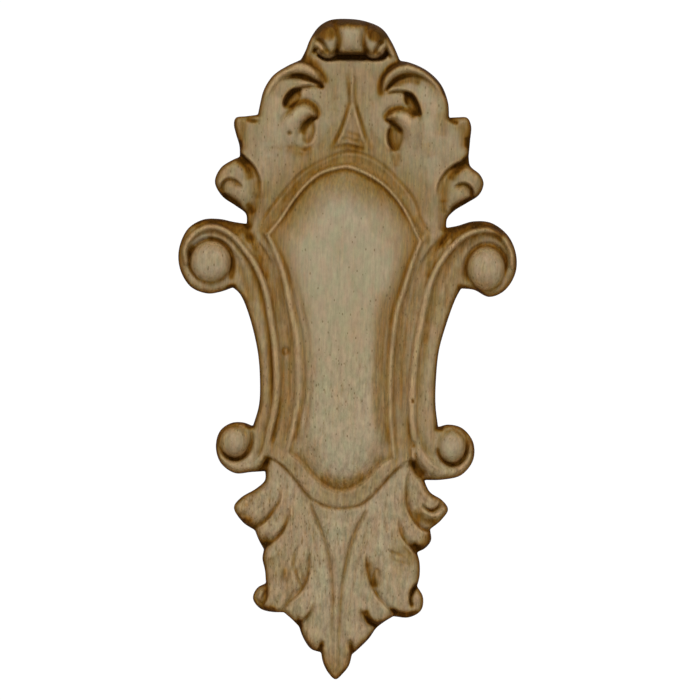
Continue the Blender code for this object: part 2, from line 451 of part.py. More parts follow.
    # ---------------------------------------------------------------- side curls
    CL = [(238, 152), (244, 156.5), (251, 162.5), (257, 171), (260.5, 181), (261, 192), (258, 204)]
    CR = [(470, 155), (462, 161), (452, 166), (444, 173.5), (438.5, 183), (436.5, 194), (437.5, 205)]
    step(R, CL, (240, 175), [9, 9, 8, 7, 5, 3, 2], [9, 10, 10, 10, 11, 10, 8], 0.8, 4, ends=(0.0, 0.25))
    step(R, CR, (460, 180), [9, 8, 7, 6, 5, 3, 2], [9, 10, 10, 10, 11, 10, 8], 0.8, 4, ends=(0.0, 0.25))
    R.ridge([(246, 162), (252, 168), (256, 177), (257, 187)], 2.0, 2.6, ends=(0.2, 0.4))
    R.ridge([(459, 167), (451, 171), (445, 178), (441.5, 188)], 2.4, 2.8, ends=(0.2, 0.4))
    R.mound(229, 175, 19, 15, 5.5, angle=-35)
    R.mound(471, 180, 18, 15, 5.5, angle=35)
    R.mound(236, 192, 20, 11, 4.5, angle=40)
    R.mound(458, 196, 20, 11, 4.5, angle=-35)
    step(R, [(220.5, 194), (220.5, 186), (224, 180.5), (229.5, 178), (236, 180), (242, 185.5), (245, 191)], (232, 188), [6, 7, 7, 6, 5, 4, 2], [7, 8, 9, 9, 8, 7, 5], 1.0, 4, ends=(0.1, 0.2))
    step(R, [(452, 189), (456, 185.5), (461.5, 183), (467, 184), (472, 188.5), (473.5, 194), (471, 199)], (462, 192), [2, 4, 6, 8, 9, 9, 6], [5, 6, 7, 8, 8, 8, 6], 1.0, 4, ends=(0.2, 0.1))
    R.groove([(221, 192), (226, 196.5), (234, 201), (242, 207)], [5, 7, 6, 4], 4.5, ends=(0.2, 0.2))
    R.groove([(474, 198), (466, 201.5), (457, 206), (449, 213.5)], [5, 7, 7, 4], 4.5, ends=(0.2, 0.2))
    R.groove([(257, 190), (256, 203), (251, 214), (248, 226)], [2, 4, 6, 6], [7, 8, 8, 7], ends=(0.2, 0.0))
    R.groove([(440, 196), (441, 206), (443, 216), (444, 228)], [1, 2, 4, 5], [6, 7, 7, 7], ends=(0.2, 0.0))

    # ---------------------------------------------------------------- arch band, bead, field, sill
    R.strip(ARCH_OUT, ARCH_BEAD, 27.5, 32.5, -1.8)
    R.groove(ARCH_OUT, [2, 2.2, 1.8, 1.4, 0.8, 1.4, 0.9, 1.4, 1.8, 2.2, 2], 2.2, ends=(0.08, 0.08))
    R.ridge([(p[0] * 0.83 + q[0] * 0.17, p[1] * 0.83 + q[1] * 0.17) for p, q in zip(spline(ARCH_OUT)[8:-8:12], spline(ARCH_BEAD)[np.linspace(8, len(spline(ARCH_BEAD)) - 9, len(spline(ARCH_OUT)[8:-8:12])).astype(int)])], 1.2, 2.4, ends=(0.1, 0.1))
    # sill
    R.strip([(266, 446)] + SILL_IN, [(267, 457)] + SILL_OUT, SILL_TOP, SILL_TOP, 0.6)
    R.strip(SILL_IN + [(412, 440)], SILL_OUT + [(415, 460)], SILL_TOP, SILL_TOP, 0.6)
    # coves between stem ridge and bead: they rise out of the crest and die out in the sill
    cove_l = ([(236, 236), (245, 250), (257, 268), (265, 288), (271, 318), (275.5, 350), (277, 380), (275, 408), (271, 430), (268, 456)],
              [(258, 222), (268, 235.5)] + BEAD_L[1:] + [(284, 462)])
    cove_r = ([(452, 240), (443, 258), (433, 276), (425.5, 300), (418, 338), (413.5, 372), (412, 402), (413, 430), (412, 462)],
              [(432, 224), (420, 242)] + BEAD_R[1:] + [(396, 468)])
    for (out, bead) in (cove_l, cove_r):
        A, B = spline(out), spline(bead)
        mask = R.inside(np.vstack([A, B[::-1]]))
        DA, TA, _ = R.distance(A, 60)
        DB, TB, _ = R.distance(B, 60)
        u = DA / (DA + DB + 1e-9)
        z = 30.5 * (1 - u) + SILL_TOP * u - along(TB, [3.4, 4.8, 5.2, 5.2, 5, 4.6, 4.2, 3.2, 2]) * 4 * u * (1 - u)
        R.H = np.where(mask & (Y > 400), 31.5, R.H)
        w = smooth((Y - 226) / 26) * smooth((460 - Y) / 30)
        R.H = np.where(mask, R.H * (1 - w) + z * w, R.H)
    # field
    field = np.vstack([spline(ARCH_BEAD)[:-1], spline(BEAD_R)[:-1], spline(SILL_IN)[::-1][:-1], spline(BEAD_L)[::-1][:-1]])
    F, _ = R.signed(field, 8)
    rise = 1.0
    for rail, width in ((ARCH_BEAD, FIELD_RAMP[0]), (BEAD_R, FIELD_RAMP[1]), (SILL_IN, FIELD_RAMP[2]), (BEAD_L, FIELD_RAMP[3])):
        D, _, _ = R.distance(spline(rail, 4), width + 3)
        rise = rise * np.sin(np.clip((D - 2.0) / width, 0, 1) * np.pi / 2) ** 0.9
    crown = np.clip(1 - ((X - 344) / 70) ** 2 - ((Y - 330) / 240) ** 2, 0, 1)
    R.H = np.where(F > 0, FIELD_EDGE + FIELD_RISE * rise + FIELD_CROWN * crown * rise, R.H)
    R.field, R.rise = F, rise
    # beads
    R.ridge(ARCH_BEAD, 2.8, 3.0, ends=(0, 0))
    R.groove([(p[0] + 0.2, p[1] + 3.2) for p in ARCH_BEAD[1:-1]], [2.4, 2, 1.4, 1.0, 0.8, 1.0, 1.4, 2, 2.4], 1.9, ends=(0.05, 0.05), where=(F > 0))
    R.tube(BEAD_L, [2.4, 2.8, 3.0, 3.4, 4.0, 4.4, 4.4, 3.8, 3.0, 2.6], BEAD_TOP, 3.4, 2.0)
    R.tube(BEAD_R, [2.4, 2.6, 2.7, 2.7, 2.8, 2.8, 2.8, 2.7, 2.6], BEAD_TOP, 3.4, 2.0)
    R.groove([(p[0] + 4.4, p[1]) for p in BEAD_L], [1.0, 1.0, 0.9, 0.7, 0.7, 0.7, 0.9, 1, 1], 1.9, ends=(0.1, 0.1))
    R.groove([(p[0] - 4.0, p[1]) for p in BEAD_R], 0.9, 1.9, ends=(0.1, 0.1))
    R.ridge([(p[0] + 8.2, p[1]) for p in BEAD_L[1:]], 1.1, 2.0, ends=(0.2, 0.1))
    R.groove([(p[0] + 11.6, p[1]) for p in BEAD_L[2:]], 0.7, 1.7, ends=(0.2, 0.1))
    R.ridge([(p[0] + 14.4, p[1]) for p in BEAD_L[2:]], 0.5, 1.6, ends=(0.2, 0.2))
    R.groove([(p[0] - 8.6, p[1]) for p in BEAD_R[1:-1]], 0.5, 1.7, ends=(0.2, 0.2))
    R.groove([(p[0] - 12.4, p[1]) for p in BEAD_R[1:-1]], 0.5, 1.6, ends=(0.2, 0.2))
    R.groove(SILL_IN, 1.3, 1.7, ends=(0.02, 0.02))
    R.ridge([(p[0] * 0.8 + q[0] * 0.2, p[1] * 0.8 + q[1] * 0.2) for p, q in zip(spline(SILL_IN)[::10], spline(SILL_OUT)[np.linspace(0, len(spline(SILL_OUT)) - 1, len(spline(SILL_IN)[::10])).astype(int)])], 1.0, 2.0, ends=(0.1, 0.1))
    R.groove(SILL_OUT, 2.8, [2.0, 2.2, 2.2, 2.2, 2.2, 2.0], ends=(0.03, 0.03))
    # fine flutes that the cutter left along the stems
    R.flutes([(250, 262), (262, 300), (268, 340), (270, 380), (268, 415)], [(270, 250), (282, 290), (291, 340), (293, 390), (288, 430)], 4, 0.85, 2.2)
    R.flutes([(436, 262), (424, 300), (416, 345), (413, 390), (414, 430)], [(418, 255), (406, 295), (397, 345), (393, 390), (394, 440)], 4, 0.85, 2.2)
    # the groove between the stem's ridge and the lower end of the frame
    R.groove([(279.5, 385), (278.5, 410), (275, 432), (268, 455)], [1, 2.6, 4.2, 4.5], [4, 4, 4, 3.2], ends=(0.3, 0.0))
    R.groove([(409.5, 400), (408.5, 425), (409, 445), (410.5, 461)], [0.6, 1.8, 2.8, 3.4], [4, 4, 3.6, 3], ends=(0.3, 0.0))

    # ---------------------------------------------------------------- scroll channels, ridges and balls
    for stem, ball, lower, sgn in ((STEM_L, (211, 261.5, 20, 20), (234, 441, 14.5, 15), 1), (STEM_R, (485.5, 268, 18.5, 21.5), (451, 446, 14.5, 16), -1)):
        SP = spline(stem)
        D, T, G = R.distance(SP, 32)
        inner = (G * side_of(stem, (ball[0], ball[1])) > 0) & (D < 31)
        # outside the ridge: a slope that runs down to the outline
        outer = (G * side_of(stem, (ball[0], ball[1])) < 0) & (D < 16) & (T < 0.42)
        z = 32.5 - 9 * smooth(D / 13)
        w = smooth(T / 0.1 + 0.3) * smooth((0.42 - T) / 0.14)
        R.H = np.where(outer & (Y < 300), np.minimum(R.H, z) * w + R.H * (1 - w), R.H)
        deep = np.interp(T, [0, 0.08, 0.35, 0.5, 0.8, 0.92, 1], [25.5, 25.5, STEM_CHANNEL - 0.2, STEM_CHANNEL - 0.5 * sgn, STEM_CHANNEL + 1 - 0.8 * sgn, 26.5, 27])
        flat = np.interp(T, [0, 0.08, 0.35, 0.5, 0.8, 0.92, 1], [25, 24.5, 25, 27.5, 28, 28, 27])
        half = np.interp(T, [0, 0.3, 0.5, 1], [5.0, 5.5, 6.0 - sgn, 5.6 - 0.8 * sgn])
        chan = np.where(D < half, 32.5 + (deep - 32.5) * smooth(D / half), deep + (flat - deep) * smooth((D - half) / 6))
        keep = inner & (S > -2)
        R.H = np.where(keep, chan, R.H)
        # ridge itself
        R.tube(stem, [2, 2.5, 2.8, 2.8, 2.8, 3.0, 3.2, 3.4, 3.5, 3.5, 3.5, 3.2, 2.8], [29, 31, 32.5, 33.5, STEM_TOP, STEM_TOP, STEM_TOP, STEM_TOP, STEM_TOP, STEM_TOP, 33.5, 32, 30], 3.0, 2.0)
    # lesser ridges inside the channel
    R.ridge([(193, 250), (199, 240), (208, 236), (217, 237), (227, 242), (237, 253), (246, 270), (252, 290), (256, 312)], [1, 1.4, 1.6, 1.6, 1.4, 1.2, 1.1, 1, 0.6], [2.2, 2.2, 2.2, 2.4, 2.6, 2.8, 2.8, 2.8, 2.8], ends=(0.15, 0.3))
    R.groove([(232, 256), (240, 270), (246, 288), (251, 310)], [1, 1.6, 1.4, 0.6], 3, ends=(0.3, 0.4))
    R.ridge([(459, 262), (450, 276), (443, 296), (437, 320)], [0.8, 1.2, 1, 0.6], 3, ends=(0.3, 0.4))
    R.flutes([(240, 296), (254, 330), (261, 365), (262, 400)], [(256, 290), (267, 330), (272, 365), (272, 400)], 3, 0.75, 2.0)
    R.flutes([(450, 300), (438, 340), (433, 375), (431, 410)], [(432, 300), (424, 340), (419, 375), (418, 410)], 3, 0.75, 2.2)
    # rings round the big balls
    R.groove([(201, 280.5), (195, 275), (190.2, 265), (190.6, 253), (197, 244.5), (206, 240), (215, 240), (224, 244.5), (230.5, 254), (232.8, 266), (231, 278), (228, 287)],
             [3, 5.5, 6, 5.2, 3.8, 3, 2.8, 3, 3.6, 4.2, 4, 3], [2.6, 3.2, 3.6, 3.6, 3.4, 3.2, 3.2, 3.4, 3.6, 3.8, 4, 4.5], ends=(0.04, 0.15))
    R.groove([(493, 287), (499, 280), (504, 270), (504.8, 259), (500, 250), (492, 245), (483, 244.6), (474, 249), (467, 259), (464.8, 271), (466, 282), (470, 290)],
             [3, 5.5, 6, 5.2, 3.8, 3, 2.8, 3, 3.6, 4.2, 4, 3], [2.6, 3.2, 3.6, 3.6, 3.4, 3.2, 3.2, 3.4, 3.6, 3.8, 4, 4.5], ends=(0.04, 0.15))
    R.ball(211, 262, 20.5, 21.5, SCROLL_BASE, SCROLL_BALL)
    R.ball(485.8, 269, 19, 22.5, SCROLL_BASE, SCROLL_BALL)
    # lower balls, each in a turned-up rim
    R.tube([(271.5, 437), (267, 451), (259, 461.5), (250, 466.5), (240, 467.5), (229, 464), (221.5, 456), (218.5, 447), (219, 438)], [3.2, 4.2, 5, 5.6, 6, 6, 5.5, 4.5, 3], [32, 32.5, 31, 30, 29.5, 29.5, 29, 28, 26], 5, 2.0, ends=(0.12, 0))
    R.tube([(413, 440), (418.5, 452), (427, 463), (437, 470.5), (447, 472.8), (458, 470.5), (466.5, 463.5), (470.8, 454), (471.5, 442), (468.5, 433)], [3.2, 4.2, 5, 5.6, 6, 6, 5.5, 5, 4.2, 3], [32, 32.5, 31, 30, 29.5, 29.5, 29, 28.5, 28, 26], 5, 2.0, ends=(0.12, 0))
    R.groove([(219.3, 444), (222, 451.5), (227.5, 457.2), (234.5, 459.3), (242, 457.5), (248, 452), (251.3, 444), (251.8, 435), (249.5, 427.5)],
             [3, 7, 9, 10, 9, 7.5, 6, 4.5, 3], [2.6, 3.4, 3.8, 4, 3.8, 3.6, 3.4, 3.2, 3], ends=(0.06, 0.1))
    R.groove([(436.6, 446), (438.8, 454), (444, 461), (451.5, 464.6), (459, 462.8), (464.8, 456.5), (467.6, 448), (467.6, 438), (464, 431), (457, 427.6)],
             [3, 6, 8.5, 9.5, 8.5, 7.5, 6.5, 5.5, 4, 2], [2.8, 3.2, 3.6, 3.8, 3.8, 3.6, 3.2, 3, 2.6, 2.2], ends=(0.06, 0.12))
    R.ball(234.3, 441, 15.4, 16, FOOT_BASE, FOOT_BALL)
    R.ball(451.4, 446, 14.6, 16.8, FOOT_BASE, FOOT_BALL)
    R.groove([(410, 458), (415, 467), (421, 474), (428, 480)], [5, 8, 9, 6], [5, 6.5, 7, 6], ends=(0.1, 0.0))
    R.groove([(268.5, 455), (266, 463), (263, 472)], [4, 7, 6], [4.5, 6, 6], ends=(0.1, 0.0))

    for kx, ky, kr in ((285.4, 351.4, 2.6), (413, 444, 1.8)):
        ring = [(kx + kr * math.cos(a), ky + 1.25 * kr * math.sin(a)) for a in np.linspace(0, 2 * math.pi, 9)]
        R.groove(ring, 2.6, 1.6, ends=(0, 0))
    R.groove([(412.3, 399.4), (412.8, 402.4)], 4.0, 1.9, ends=(0, 0))
    R.groove([(399.6, 300), (400, 303)], 1.6, 1.6, ends=(0, 0))
    # the joints at the ends of the arch are worn together
    R.soften(256, 236, 12, 9, 1.8, -50)
    R.soften(437, 238, 12, 9, 1.8, 50)

    # ---------------------------------------------------------------- knob
    rec = (np.abs(X - 351) < 44) & (Y < 62)
    kn = 26 + 3 * smooth((62 - Y) / 14)
    R.H = np.where(rec & (Y < 58), 25, R.H)
    R.pit([(317, 55.5), (323, 51), (336, 50), (350, 52), (366, 50.5), (379, 50), (388, 54), (385.5, 60), (372, 62), (352, 61), (335, 61.8), (323, 61)], 10, 4)
    R.tube([(387, 37), (391.5, 47), (396.5, 60)], [4, 4.5, 4], [31, 30, 28], 5, 2.0, ends=(0.0, 0.2))
    R.tube([(312.5, 40), (308, 50), (305, 60)], [3.5, 4, 4], [30, 28.5, 27], 5, 2.0, ends=(0.0, 0.2))

    def lump(cx, cy, rx, ry, base, height, cut):
        r2 = ((X - cx) / rx) ** 2 + ((Y - cy) / ry) ** 2
        top = base + height * np.sqrt(np.clip(1 - r2, 0, 1))
        R.H = np.where((r2 < 1) & (Y < cut), np.maximum(R.H, top), R.H)

    lump(327.5, 40.5, 14.5, 18.5, KNOB_BASE, 16, 60)
    lump(374, 41.5, 13.5, 17.5, KNOB_BASE, 16, 60)
    bx = np.clip(1 - np.abs((X - 350.8) / 15.5) ** 2.6, 0, 1) ** 0.5
    by = np.clip(1 - np.abs((Y - 39.0) / 19.2) ** 2.3, 0, 1) ** 0.6
    R.H = np.where((bx > 0) & (by > 0) & (Y < 55.5), np.maximum(R.H, KNOB_BASE + KNOB_RISE * bx * by), R.H)
    R.groove([(312.5, 43), (317, 41), (322, 44), (326, 49), (328.5, 55)], [4, 7, 8, 7, 4], [2.6, 3.2, 3.4, 3, 2.6], ends=(0.15, 0.15))
    R.groove([(374.5, 56), (376.5, 49.5), (380, 45), (386, 42.5)], [4, 7, 8, 4], [2.6, 3.2, 3.4, 2.6], ends=(0.15, 0.15))
    R.groove([(313.5, 55), (315.5, 50), (319.5, 49.5)], 5, 2.4, ends=(0.2, 0.2))
    R.groove([(384, 48.5), (387, 53), (391.5, 60)], 5, 2.2, ends=(0.2, 0.2))
    R.groove([(335.6, 27), (338.6, 32), (339.8, 38), (339.2, 44.5), (336.8, 52.5)], [0.4, 1.2, 3, 4.8, 6.5], [2.6, 3.2, 3.8, 4.2, 4.2], ends=(0.3, 0.0))
    R.groove([(366, 27.5), (363.4, 32), (362.4, 38), (363.2, 44.5), (366.4, 52.5)], [0.4, 1.2, 2.6, 4.0, 6], [2.6, 3.2, 3.8, 4.2, 4.2], ends=(0.3, 0.0))
    R.ridge([(323, 28.5), (329.5, 27.2), (334.4, 31.5), (335.4, 38), (333, 45)], 1.8, 2.2, ends=(0.25, 0.25))
    R.ridge([(378, 29), (371.5, 28.6), (367, 33), (366.4, 39.5), (368.6, 46)], 1.8, 2.2, ends=(0.25, 0.25))
    R.mound(327, 36.5, 8, 9, 1.6)
    R.mound(374.5, 37, 7.5, 8.5, 1.6)

    # ---------------------------------------------------------------- bottom leaf
    # stem
    spear = [(309, 494), (313, 510), (320, 526), (326, 543), (330, 562), (332, 580), (334, 598), (337, 606), (340.5, 598), (342.5, 578), (346, 560), (351, 541), (358, 524), (367, 507)]
    st, _ = R.signed(spline(spear, closed=False), 14)
    leafmask = ~R.inside(np.vstack([spline(SILL_OUT), [(440, 440), (440, 100), (240, 100), (240, 440)]])) & (Y > 455)
    R.H = np.where(leafmask & (st > 0), R.H + 2.4 * pillow(st / 7), R.H)
    for line in LEAF_LINES:
        R.groove(line, [1, 1.5, 1.6, 1.6, 1.4, 1.1, 0.6], 9, ends=(0.1, 0.2), where=leafmask)
        R.groove(line, [1.8, 2.2, 2.3, 2.2, 2, 1.7, 1.3, 0.9], [1.9, 2.0, 2.1, 2.1, 2.0, 1.9, 1.9, 1.8], ends=(0.02, 0.15), where=leafmask)
    R.ridge([(305.5, 499), (309.5, 511), (316, 527), (321.8, 543), (325.6, 562), (327.6, 582), (328, 604)], 1.3, 2.4, ends=(0.1, 0.3), where=leafmask)
    R.ridge([(371, 511), (362.5, 527), (356, 543), (351, 561), (347.6, 580), (345.6, 604)], 1.3, 2.4, ends=(0.1, 0.3), where=leafmask)
    R.ridge([(336.4, 582), (336, 600), (335.6, 625), (335.3, 648), (335.3, 672)], [1.2, 2.2, 2.2, 2, 1.2], 3.0, ends=(0.15, 0.1))
    # soft swells of the lobes
    R.mound(298, 528, 16, 44, 2.4, angle=-10, where=leafmask)
    R.mound(376, 540, 16, 44, 2.4, angle=12, where=leafmask)
    R.mound(316, 606, 13, 42, 2.6, angle=-6)
    R.mound(352, 612, 12, 38, 2.6, angle=8)
    R.mound(254, 505, 26, 18, 4.0, angle=-35)
    R.mound(424, 488, 17, 30, 3.0, angle=-25)
    R.mound(275, 577, 19, 36, 3.4, angle=8)
    R.mound(398, 578, 22, 36, 3.4, angle=-10)
    R.mound(298, 611, 17, 10, 3.0, angle=-40)
    R.mound(377, 611, 16, 11, 3.0, angle=35)
    R.mound(276, 527, 20, 9, 2.0, angle=-48)
    R.mound(404, 540, 22, 9, 2.0, angle=55)
    R.mound(312, 636, 12, 14, 2.0)
    R.mound(360, 634, 12, 14, 2.0)
    # flutes along the lobes
    R.flutes([(304, 500), (313, 530), (322, 560), (326, 595), (326, 632)], [(287, 480), (294, 510), (300, 540), (313, 570), (314, 604)], 4, 1.0, 2.6, where=leafmask)
    R.flutes([(372, 512), (361, 540), (353, 570), (348, 600), (346, 632)], [(390, 486), (387, 512), (378, 542), (367, 570), (362, 600)], 4, 1.0, 2.6, where=leafmask)
    R.flutes([(283, 484), (284, 501), (277, 515), (263, 530)], [(289, 498), (288, 514), (282, 528), (268, 541)], 2, 0.9, 2.0)
    R.flutes([(402, 486), (402, 506), (408, 521), (419, 535)], [(396, 500), (396, 524), (402, 539), (413, 550)], 2, 0.9, 2.0)
    R.flutes([(290, 535), (274, 553), (269, 578), (272, 604)], [(304, 545), (304, 560), (294, 588), (287, 603)], 5, 0.9, 2.3)
    R.flutes([(382, 545), (373, 562), (384, 590), (394, 606)], [(400, 550), (416, 564), (414, 580), (407, 600)], 5, 0.9, 2.3)
    R.flutes([(264, 476), (252, 492), (240, 504)], [(280, 484), (276, 504), (258, 522)], 4, 0.9, 2.4)
    R.flutes([(416, 478), (424, 494), (434, 502)], [(407, 480), (410, 508), (424, 526)], 4, 0.9, 2.4)
    R.flutes([(316, 604), (308, 618), (300, 622)], [(324, 610), (320, 632), (312, 646)], 4, 0.7, 2.0)
    R.flutes([(352, 604), (362, 618), (372, 626)], [(345, 610), (350, 632), (358, 646)], 4, 0.7, 2.0)
    # left lobes
    step(R, [(282.5, 484), (282, 494), (280.5, 501), (276.5, 508), (271.5, 515.5), (266.5, 521), (261, 525.5), (254, 529.5)], (262, 505), [1, 2.4, 3.4, 4.2, 4.6, 4.8, 5.2, 6], [3, 4, 5, 5.5, 6, 6.5, 7, 7], 2.2, 3.2, ends=(0.15, 0.0))
    step(R, [(290, 503), (290.3, 514), (287.8, 523), (284, 531), (279, 537.5), (272.5, 543), (264, 549)], (275, 520), [1.5, 2.6, 3.6, 4.2, 4.8, 6, 7], [3, 3.6, 4.4, 5.4, 6.4, 7, 7], 2.4, 3.4, ends=(0.15, 0.0))
    R.groove([(276, 531), (269, 537), (262, 543), (256, 549)], [1, 3.5, 5, 5], [5, 6, 7, 7], ends=(0.3, 0.0))
    # the turned-over end of the upper lobe
    R.groove([(241.5, 499.5), (245, 497.6), (249, 498.8), (252, 502), (252.6, 506)], [1.2, 2.2, 2.2, 1.8, 1], 2.0, ends=(0.25, 0.25))
    R.groove([(244, 505.5), (247.5, 503.8), (251, 505)], 1.6, 1.7, ends=(0.3, 0.3))
    R.groove([(238, 511), (243.5, 514.5), (249, 513.5)], 1.6, 2.4, ends=(0.3, 0.3))
    R.mound(244, 508, 7, 5, 1.6)
    # third lobe
    step(R, [(309.8, 547), (310.8, 560), (309.8, 572), (307, 583), (302.5, 590.5), (296, 597), (290, 602), (284, 610)], (298, 570), [1, 2.4, 3.6, 4.6, 5, 5, 4.4, 3.6], [3, 6, 9, 11, 12, 11, 8, 6], 2.0, 3.2, ends=(0.15, 0.0))
    step(R, [(303, 543), (296.5, 547), (292.8, 555), (292.5, 566), (294, 575)], (300, 560), [1, 2.4, 3, 2.4, 1], 5, 0.6, 3)
    R.groove([(308.8, 552), (309.6, 563), (308.2, 574), (304.8, 583.5), (299.5, 590), (292, 596.5)], [1, 1.6, 1.8, 1.8, 1.6, 1], 1.8, ends=(0.2, 0.2))
    R.groove([(296.6, 566), (296.8, 574), (299.6, 582), (303.2, 588)], [2.4, 3.6, 3.6, 2.6], 2.1, ends=(0.15, 0.25))
    R.groove([(297, 566.5), (300.6, 569), (302.8, 575), (304, 582)], [2, 2.4, 2, 1.4], 1.8, ends=(0.15, 0.25))
    R.ridge([(299.6, 571), (300.4, 577), (303, 584)], 1.3, 1.7, ends=(0.3, 0.3))
    R.groove([(291.4, 578), (293, 585), (297, 589.5)], [1.0, 1.6, 1.0], 2.2, ends=(0.3, 0.3))
    R.groove([(289.5, 598), (293, 592), (297, 589)], 1.4, 2.0, ends=(0.3, 0.3))
    R.groove([(283.5, 564), (284.6, 572), (285, 581)], 1.3, 1.7, ends=(0.35, 0.35))
    R.groove([(279, 557), (280, 566)], 0.9, 1.6, ends=(0.35, 0.35))
    # small curl at the end of lobe three
    step(R, [(267, 581), (268.8, 589), (268, 597), (263.5, 604), (257, 607.5)], (258, 596), [8, 8, 7, 5, 3], [7, 8, 8, 7, 5], 1.2, 3.6, ends=(0.0, 0.2))
    R.ball(259.6, 595, 7.5, 9.5, 19.5, 7)
    R.groove([(265, 586.4), (259.6, 586.2), (255.8, 590), (255.4, 596), (258.4, 601), (263, 601.6)], [1.4, 3, 3.4, 3.4, 3.4, 2], 2.0, ends=(0.2, 0.2))
    R.ridge([(263.2, 588.6), (261.2, 593.6), (258.9, 598.2)], 2.2, 1.9, ends=(0.25, 0.25))
    R.groove([(265.6, 588), (264.4, 594), (261.6, 599.6)], 3.2, 1.8, ends=(0.25, 0.25))
    # lobe four and five, left
    step(R, [(313, 598), (311, 608), (306, 614.5), (300, 619.5), (292, 622)], (303, 628), [1, 3, 5, 6.5, 7], [4, 7, 9, 10, 9], 1.6, 4.5, ends=(0.2, 0.0))
    R.groove([(298.5, 618), (300.5, 626), (303, 634)], [7, 6, 2], 3.6, ends=(0.0, 0.3))
    R.groove([(324, 637), (320.8, 646), (318.5, 656)], [3, 7, 8], [3.4, 4, 4.4], ends=(0.3, 0.0))
    # right lobes
    step(R, [(411, 466), (407.5, 474), (405.3, 484), (404.8, 494), (406, 505), (409.5, 515), (415, 523.5), (422, 530), (432, 533)], (418, 505), [2, 3, 3.4, 4, 5, 5.8, 6.4, 7, 8], [3.4, 4.6, 5.6, 6.6, 7.6, 8, 8, 8, 7], 2.0, 3.2, ends=(0.1, 0.0))
    step(R, [(422, 502), (426, 507), (431, 509), (436.5, 506.5), (439.5, 501.5), (440, 496)], (433, 512), [2, 5, 7, 8, 7, 4], [4, 4.5, 5, 5, 5, 4.5], 1.0, 3.6, ends=(0.2, 0.0))
    R.ridge([(420, 506), (425.5, 512), (433, 515), (441, 512.5), (447, 506)], 3.4, 3.2, ends=(0.2, 0.1))
    R.groove([(414, 508), (421, 518), (431, 523), (440, 521)], [2, 4, 5, 5], [5, 6, 6, 5], ends=(0.3, 0.0))
    step(R, [(397.5, 514), (398, 526), (400.5, 535), (405, 542), (411, 548.5), (418, 555)], (408, 532), [1.5, 2.8, 4, 5, 6.4, 8], [3.2, 5, 7, 9, 9, 8], 2.0, 3.2, ends=(0.15, 0.0))
    R.groove([(410, 541), (416, 547), (423, 553)], [3, 6, 6], [5, 6, 6], ends=(0.3, 0.0))
    R.groove([(385.5, 519), (387, 528), (388.4, 534)], 2.0, 1.8, ends=(0.3, 0.3))
    R.groove([(386, 547), (391, 551), (398, 553), (405, 557.5)], 1.9, 1.7, ends=(0.25, 0.25))
    R.groove([(391, 556.5), (397.5, 560.5), (404.5, 562), (411, 565)], 1.6, 1.7, ends=(0.25, 0.25))
    R.groove([(401, 546), (407, 550), (412.5, 556)], 1.4, 1.6, ends=(0.25, 0.25))
    R.groove([(384, 560), (389, 563.5), (395, 568)], 1.1, 1.8, ends=(0.3, 0.3))
    R.groove([(402, 568), (408, 570), (413, 573)], 1.0, 1.7, ends=(0.3, 0.3))
    R.groove([(376.5, 548), (381, 552)], 1.4, 1.8, ends=(0.3, 0.3))
    step(R, [(365, 548), (365.6, 562), (367.2, 574), (370.3, 584), (374.8, 593), (380.2, 600.5), (386.4, 606.5), (394, 612)], (378, 582), [1, 2.4, 3.6, 4.4, 4.6, 4.6, 4.6, 4.6], [3, 6, 8, 10, 10, 9, 7, 6], 2.0, 3.2, ends=(0.15, 0.0))
    R.groove([(365.4, 555), (366.2, 567), (368.6, 578), (372.6, 587.5), (378, 596), (385, 603)], [1, 1.6, 1.8, 1.8, 1.6, 1], 1.8, ends=(0.2, 0.2))
    R.pit([(376.8, 566), (379.4, 573), (379.2, 581), (376.6, 588), (373.2, 585), (372.8, 577), (374.4, 570)], 1.6, 3.0)
    R.groove([(376, 566.5), (373.8, 574), (373.2, 582), (374.4, 589)], [2.4, 3, 3, 2], 1.9, ends=(0.15, 0.3))
    R.groove([(376.8, 566.5), (379.2, 573), (379.8, 580), (378.6, 588)], [2, 2.6, 2.4, 1.6], 1.8, ends=(0.15, 0.3))
    R.ridge([(383, 572), (384.4, 580), (385.6, 589)], 1.0, 2.0, ends=(0.3, 0.3))
    R.groove([(386.6, 576), (388.2, 585), (390, 594)], 0.9, 2.0, ends=(0.3, 0.3))
    step(R, [(418, 582), (413, 587), (409.6, 594), (409, 601), (411.5, 609)], (416, 598), [8, 8, 7, 6, 3], [6, 7, 8, 7, 5], 1.2, 3.6, ends=(0.0, 0.2))
    R.ball(416.4, 599.5, 6.4, 10.0, 19.5, 7.5)
    R.groove([(412.5, 591.5), (410.4, 599.5), (412.4, 607.5)], 2.8, 1.8, ends=(0.25, 0.25))
    R.groove([(419, 583), (414.4, 587), (411.6, 592.5)], [6, 6, 3], [3.2, 3.0, 2.6], ends=(0.0, 0.3))
    R.groove([(415.5, 593.5), (417.6, 598.5), (416.4, 604.5)], 1.6, 1.6, ends=(0.3, 0.3))
    R.groove([(392, 610.5), (401, 613.5), (411, 614), (419, 611.5)], [7, 6.5, 5, 3], [4.2, 4.6, 4.6, 4], ends=(0.0, 0.2))
    step(R, [(360.5, 604), (364.3, 614), (369, 620), (376, 623.8), (386, 622.5)], (368, 630), [1, 5, 9, 10, 9], [5, 8, 9, 9, 8], 1.6, 4.5, ends=(0.2, 0.0))
    R.groove([(364, 607), (366.4, 614), (371, 620.5), (378, 624), (386, 622.5)], [2, 4, 6, 6, 3], [2.4, 3, 3.6, 3.6, 3], ends=(0.2, 0.0))
    R.groove([(348.5, 637), (351.5, 646), (353, 656)], [3, 7, 8], [3.4, 4, 4.6], ends=(0.3, 0.0))

    # ---------------------------------------------------------------- outer edge
    R.H = WALL + (R.H - WALL) * pillow(np.clip(S, 0, None) / EDGE_ROUND, 2.0)
    R.H = blur(R.H, SOFTEN / stp)
    return R



